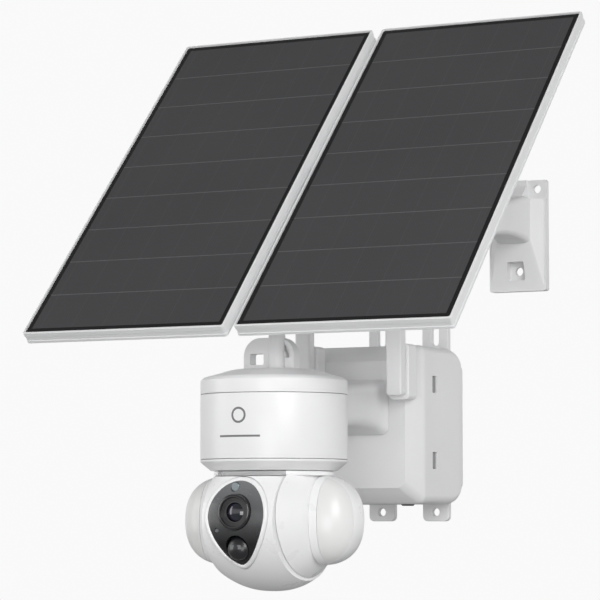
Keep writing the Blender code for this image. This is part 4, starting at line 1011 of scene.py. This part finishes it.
def make_bracket():
    bolt = [(0.0, -16.5), (4.4, -16.5), (5.0, -16.0), (5.0, -13.4), (3.0, -13.4), (3.0, 13.4), (5.0, 13.4)]
    bolt += [(5.0, 16.0), (4.4, 16.5), (0.0, 16.5)]
    sockets = []
    for ends in ((-18.0, -14.6), (14.6, 18.0)):
        hexagon = [(2.6 * math.cos(math.tau * k / 6), 2.6 * math.sin(math.tau * k / 6)) for k in range(6)]
        hexagon = shifted(hexagon, PIVOT_AT[1], PIVOT_AT[2])
        sockets.append(prism(hexagon, BRACKET_X + ends[0], BRACKET_X + ends[1], "X"))
    make_piece("pivot_bolt", lathe(bolt, PIVOT_AT, "X", 48), "steel", "swivel", ("tilt_bolt",),
               sockets)
    x, y, z = PIVOT_AT
    joins = [block((x - 5.8, y - 5.0, NECK_Z + 9.0), (x + 5.8, y + 8.0, z - 7.0))]
    swivel_axis = (x, y + 1.5, 0)
    joins.append(rod(9.0, NECK_Z + 6.0, NECK_Z + 11.0, swivel_axis, "Z", 64))
    joins.append(rod(4.0, NECK_Z - 6.0, NECK_Z + 8.0, swivel_axis, "Z", 48))
    eye = lathe([(3.3, -6.0), (9.5, -6.0), (9.5, 6.0), (3.3, 6.0)], PIVOT_AT, "X", 64)
    make_piece("neck", eye, "coated", "swivel", ("swivel_neck",),
               [rod(3.4, -20, 20, PIVOT_AT, "X")], joins)
    pad_z = NECK_Z - 1.0
    stations = [(-BRACKET_DEPTH - 0.3, 14.0, 18.0, STRUT_Z - 1.0), (-22.0, 13.4, 16.2, STRUT_Z - 1.0)]
    stations += [(-34.0, 12.8, 14.3, STRUT_Z - 1.6), (-62.0, 12.0, 11.0, STRUT_Z - 6.0)]
    stations += [(-96.0, 10.0, 8.5, STRUT_Z - 17.0), (-124.0, 10.0, 6.5, pad_z), (y - 9.0, 9.0, 6.5, pad_z)]
    rings = []
    for station_y, half_w, half_h, centre in smooth_stations(stations, 6):
        outline = shifted(rounded_rectangle(half_w, half_h, 4.5, 7), BRACKET_X, centre)
        rings.append([(a, station_y, b) for a, b in outline])
    cuts = [rod(4.3, pad_z - 20, pad_z + 20, swivel_axis, "Z")]
    cuts.append(rod(9.3, NECK_Z + 5.7, NECK_Z + 40, swivel_axis, "Z", 64))
    make_piece("strut", loft(rings), "coated", "wall_unit", ("bracket_strut",), cuts,
               bevel=0.5, bevel_angle=60.0)
    outline = shifted(rounded_rectangle(BRACKET_HALF_W, BRACKET_HALF_H, 2.0, 5), BRACKET_X, BRACKET_Z)
    slab = prism(outline, 0.0, -SLAB_DEPTH, "Y")
    flare = []
    for depth, half_w, low, high in ((-SLAB_DEPTH + 1.0, 21.5, -41.0, 38.0), (-SLAB_DEPTH, 21.5, -41.0, 38.0),
                                     (-BRACKET_DEPTH, 14.0, -6.6, 29.4)):
        outline = rounded_rectangle(half_w, (high - low) / 2, 4.0, 6)
        flare.append([(BRACKET_X + a, depth, BRACKET_Z + (high + low) / 2 + b) for a, b in outline])
    pockets = []
    past_w, past_h = BRACKET_HALF_W + 1, BRACKET_HALF_H + 1
    for low_a, high_a, low_b, high_b in ((-past_w, -7.4, 27.5, past_h), (7.4, past_w, 27.5, past_h),
                                         (-7.0, 7.0, -34.0, -20.0)):
        outline = rounded_rectangle((high_a - low_a) / 2, (high_b - low_b) / 2, 1.5, 5)
        outline = shifted(outline, BRACKET_X + (high_a + low_a) / 2, BRACKET_Z + (high_b + low_b) / 2)
        pockets.append(prism(outline, -40.0, -WEB, "Y"))
    for a, b in ((-15.0, 35.5), (15.0, 35.5), (0.0, -27.0)):
        pockets.append(rod(3.2, -10.0, 5.0, (BRACKET_X + a, 0, BRACKET_Z + b), "Y"))
    make_piece("wall_plate", slab, "coated", "wall_unit", ("bracket_wall_plate",), pockets,
               [loft(flare)], bevel=0.6, bevel_angle=40.0)


# ---- Small parts kept from the frame -----------------------------------------
KEPT = {
    "box_seal": "rubber", "latch_strip_left": "hook", "latch_strip_right": "hook", "charge_inlet": "dark",
    "power_button": "rubber", "battery_cell_1": "cell_wrap", "battery_cell_2": "cell_wrap",
    "battery_holder": "dark", "charge_board": "board", "main_board": "board", "camera_board": "board",
    "lamp_board_left": "lamp_board",
    "lamp_board_right": "lamp_board", "pan_bearing": "steel", "pan_motor": "steel", "tilt_motor": "steel",
    "trunnion_left": "steel", "trunnion_right": "steel", "pan_pinion": "steel", "tilt_pinion": "steel",
    "pan_wheel": "gear", "tilt_wheel": "gear",
}


def dress_kept_nodes():
    for name, material in KEPT.items():
        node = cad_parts[name]
        node.data.materials.clear()
        node.data.materials.append(MATERIALS[material])


# ---- Stage -------------------------------------------------------------------
FLOOR_Z = -2400.0
FLOOR_HALF = 12000.0
BACKDROP_RADIUS = 10000.0
PALE = 0.95
LIGHT_AIM = (0.0, -0.15, 0.0)
# (elevation in degrees, brightness)
SKY = ((-90.0, 0.26), (-10.0, 0.26), (-3.5, 0.96), (12.0, 0.96), (22.0, 0.26), (90.0, 0.24))
# (name, place in metres, size in metres, watts)
LIGHTS = (
    ("key", (1.7, -1.8, 0.8), (1.1, 1.3), 27.0),
    ("fill", (-2.4, -1.5, 0.35), (1.2, 1.8), 14.0),
    ("low", (0.7, -2.4, -0.3), (1.0, 0.8), 10.0),
)


def show_to_camera_only(stage_object, level):
    """A plain pale surface that neither lights the object nor shows in its gloss."""
    pale = Nodes(stage_object.name + "_pale")
    pale.set(Base_Color=(0.0, 0.0, 0.0, 1.0), Specular_IOR_Level=0.0, Roughness=1.0)
    pale.set(Emission_Color=(level, level, level, 1.0), Emission_Strength=1.0)
    stage_object.data.materials.append(pale.material)
    stage_object.visible_diffuse = False
    stage_object.visible_glossy = False
    stage_object.visible_transmission = False
    stage_object.visible_shadow = False


def make_stage():
    bm = bmesh.new()
    bmesh.ops.create_grid(bm, x_segments=1, y_segments=1, size=FLOOR_HALF)
    bmesh.ops.translate(bm, vec=(0, 0, FLOOR_Z), verts=bm.verts[:])
    show_to_camera_only(mesh_object("floor", bm), PALE)
    bm = bmesh.new()
    bmesh.ops.create_icosphere(bm, subdivisions=3, radius=BACKDROP_RADIUS)
    show_to_camera_only(mesh_object("backdrop", bm), PALE)


def area_light(name, place, aim, size, watts):
    data = bpy.data.lights.new(name, "AREA")
    data.shape = "RECTANGLE"
    data.size, data.size_y = size
    data.energy = watts
    light = bpy.data.objects.new(name, data)
    light.location = place
    light.rotation_euler = (Vector(aim) - Vector(place)).to_track_quat("-Z", "Y").to_euler()
    add_to_scene(light)


def make_light():
    """A bright band round the horizon, dimmer above and below it, and three soft area lights."""
    world = bpy.data.worlds.new("studio")
    bpy.context.scene.world = world
    world.use_nodes = True
    tree = world.node_tree
    background = tree.nodes["Background"]
    at = tree.nodes.new("ShaderNodeTexCoord")
    split = tree.nodes.new("ShaderNodeSeparateXYZ")
    ramp = tree.nodes.new("ShaderNodeMapRange")
    ramp.inputs["From Min"].default_value = -1.0
    ramp.inputs["From Max"].default_value = 1.0
    colours = tree.nodes.new("ShaderNodeValToRGB")
    tree.links.new(at.outputs["Generated"], split.inputs["Vector"])
    tree.links.new(split.outputs["Z"], ramp.inputs["Value"])
    tree.links.new(ramp.outputs["Result"], colours.inputs["Fac"])
    tree.links.new(colours.outputs["Color"], background.inputs["Color"])
    while len(colours.color_ramp.elements) > 1:
        colours.color_ramp.elements.remove(colours.color_ramp.elements[-1])
    for index, (rise, level) in enumerate(SKY):
        place = (math.sin(math.radians(rise)) + 1.0) / 2.0
        stop = colours.color_ramp.elements[0] if index == 0 else colours.color_ramp.elements.new(place)
        stop.position = place
        stop.color = (level, level, level, 1.0)
    background.inputs["Strength"].default_value = 1.0
    bpy.context.scene.view_settings.view_transform = "Standard"
    for name, place, size, watts in LIGHTS:
        area_light(name, place, LIGHT_AIM, size, watts)


make_box()
make_arm()
make_can()
make_head()
make_face()
make_yoke()
make_pods()
make_antennas()
make_panels()
make_bracket()
dress_kept_nodes()
make_stage()
make_light()
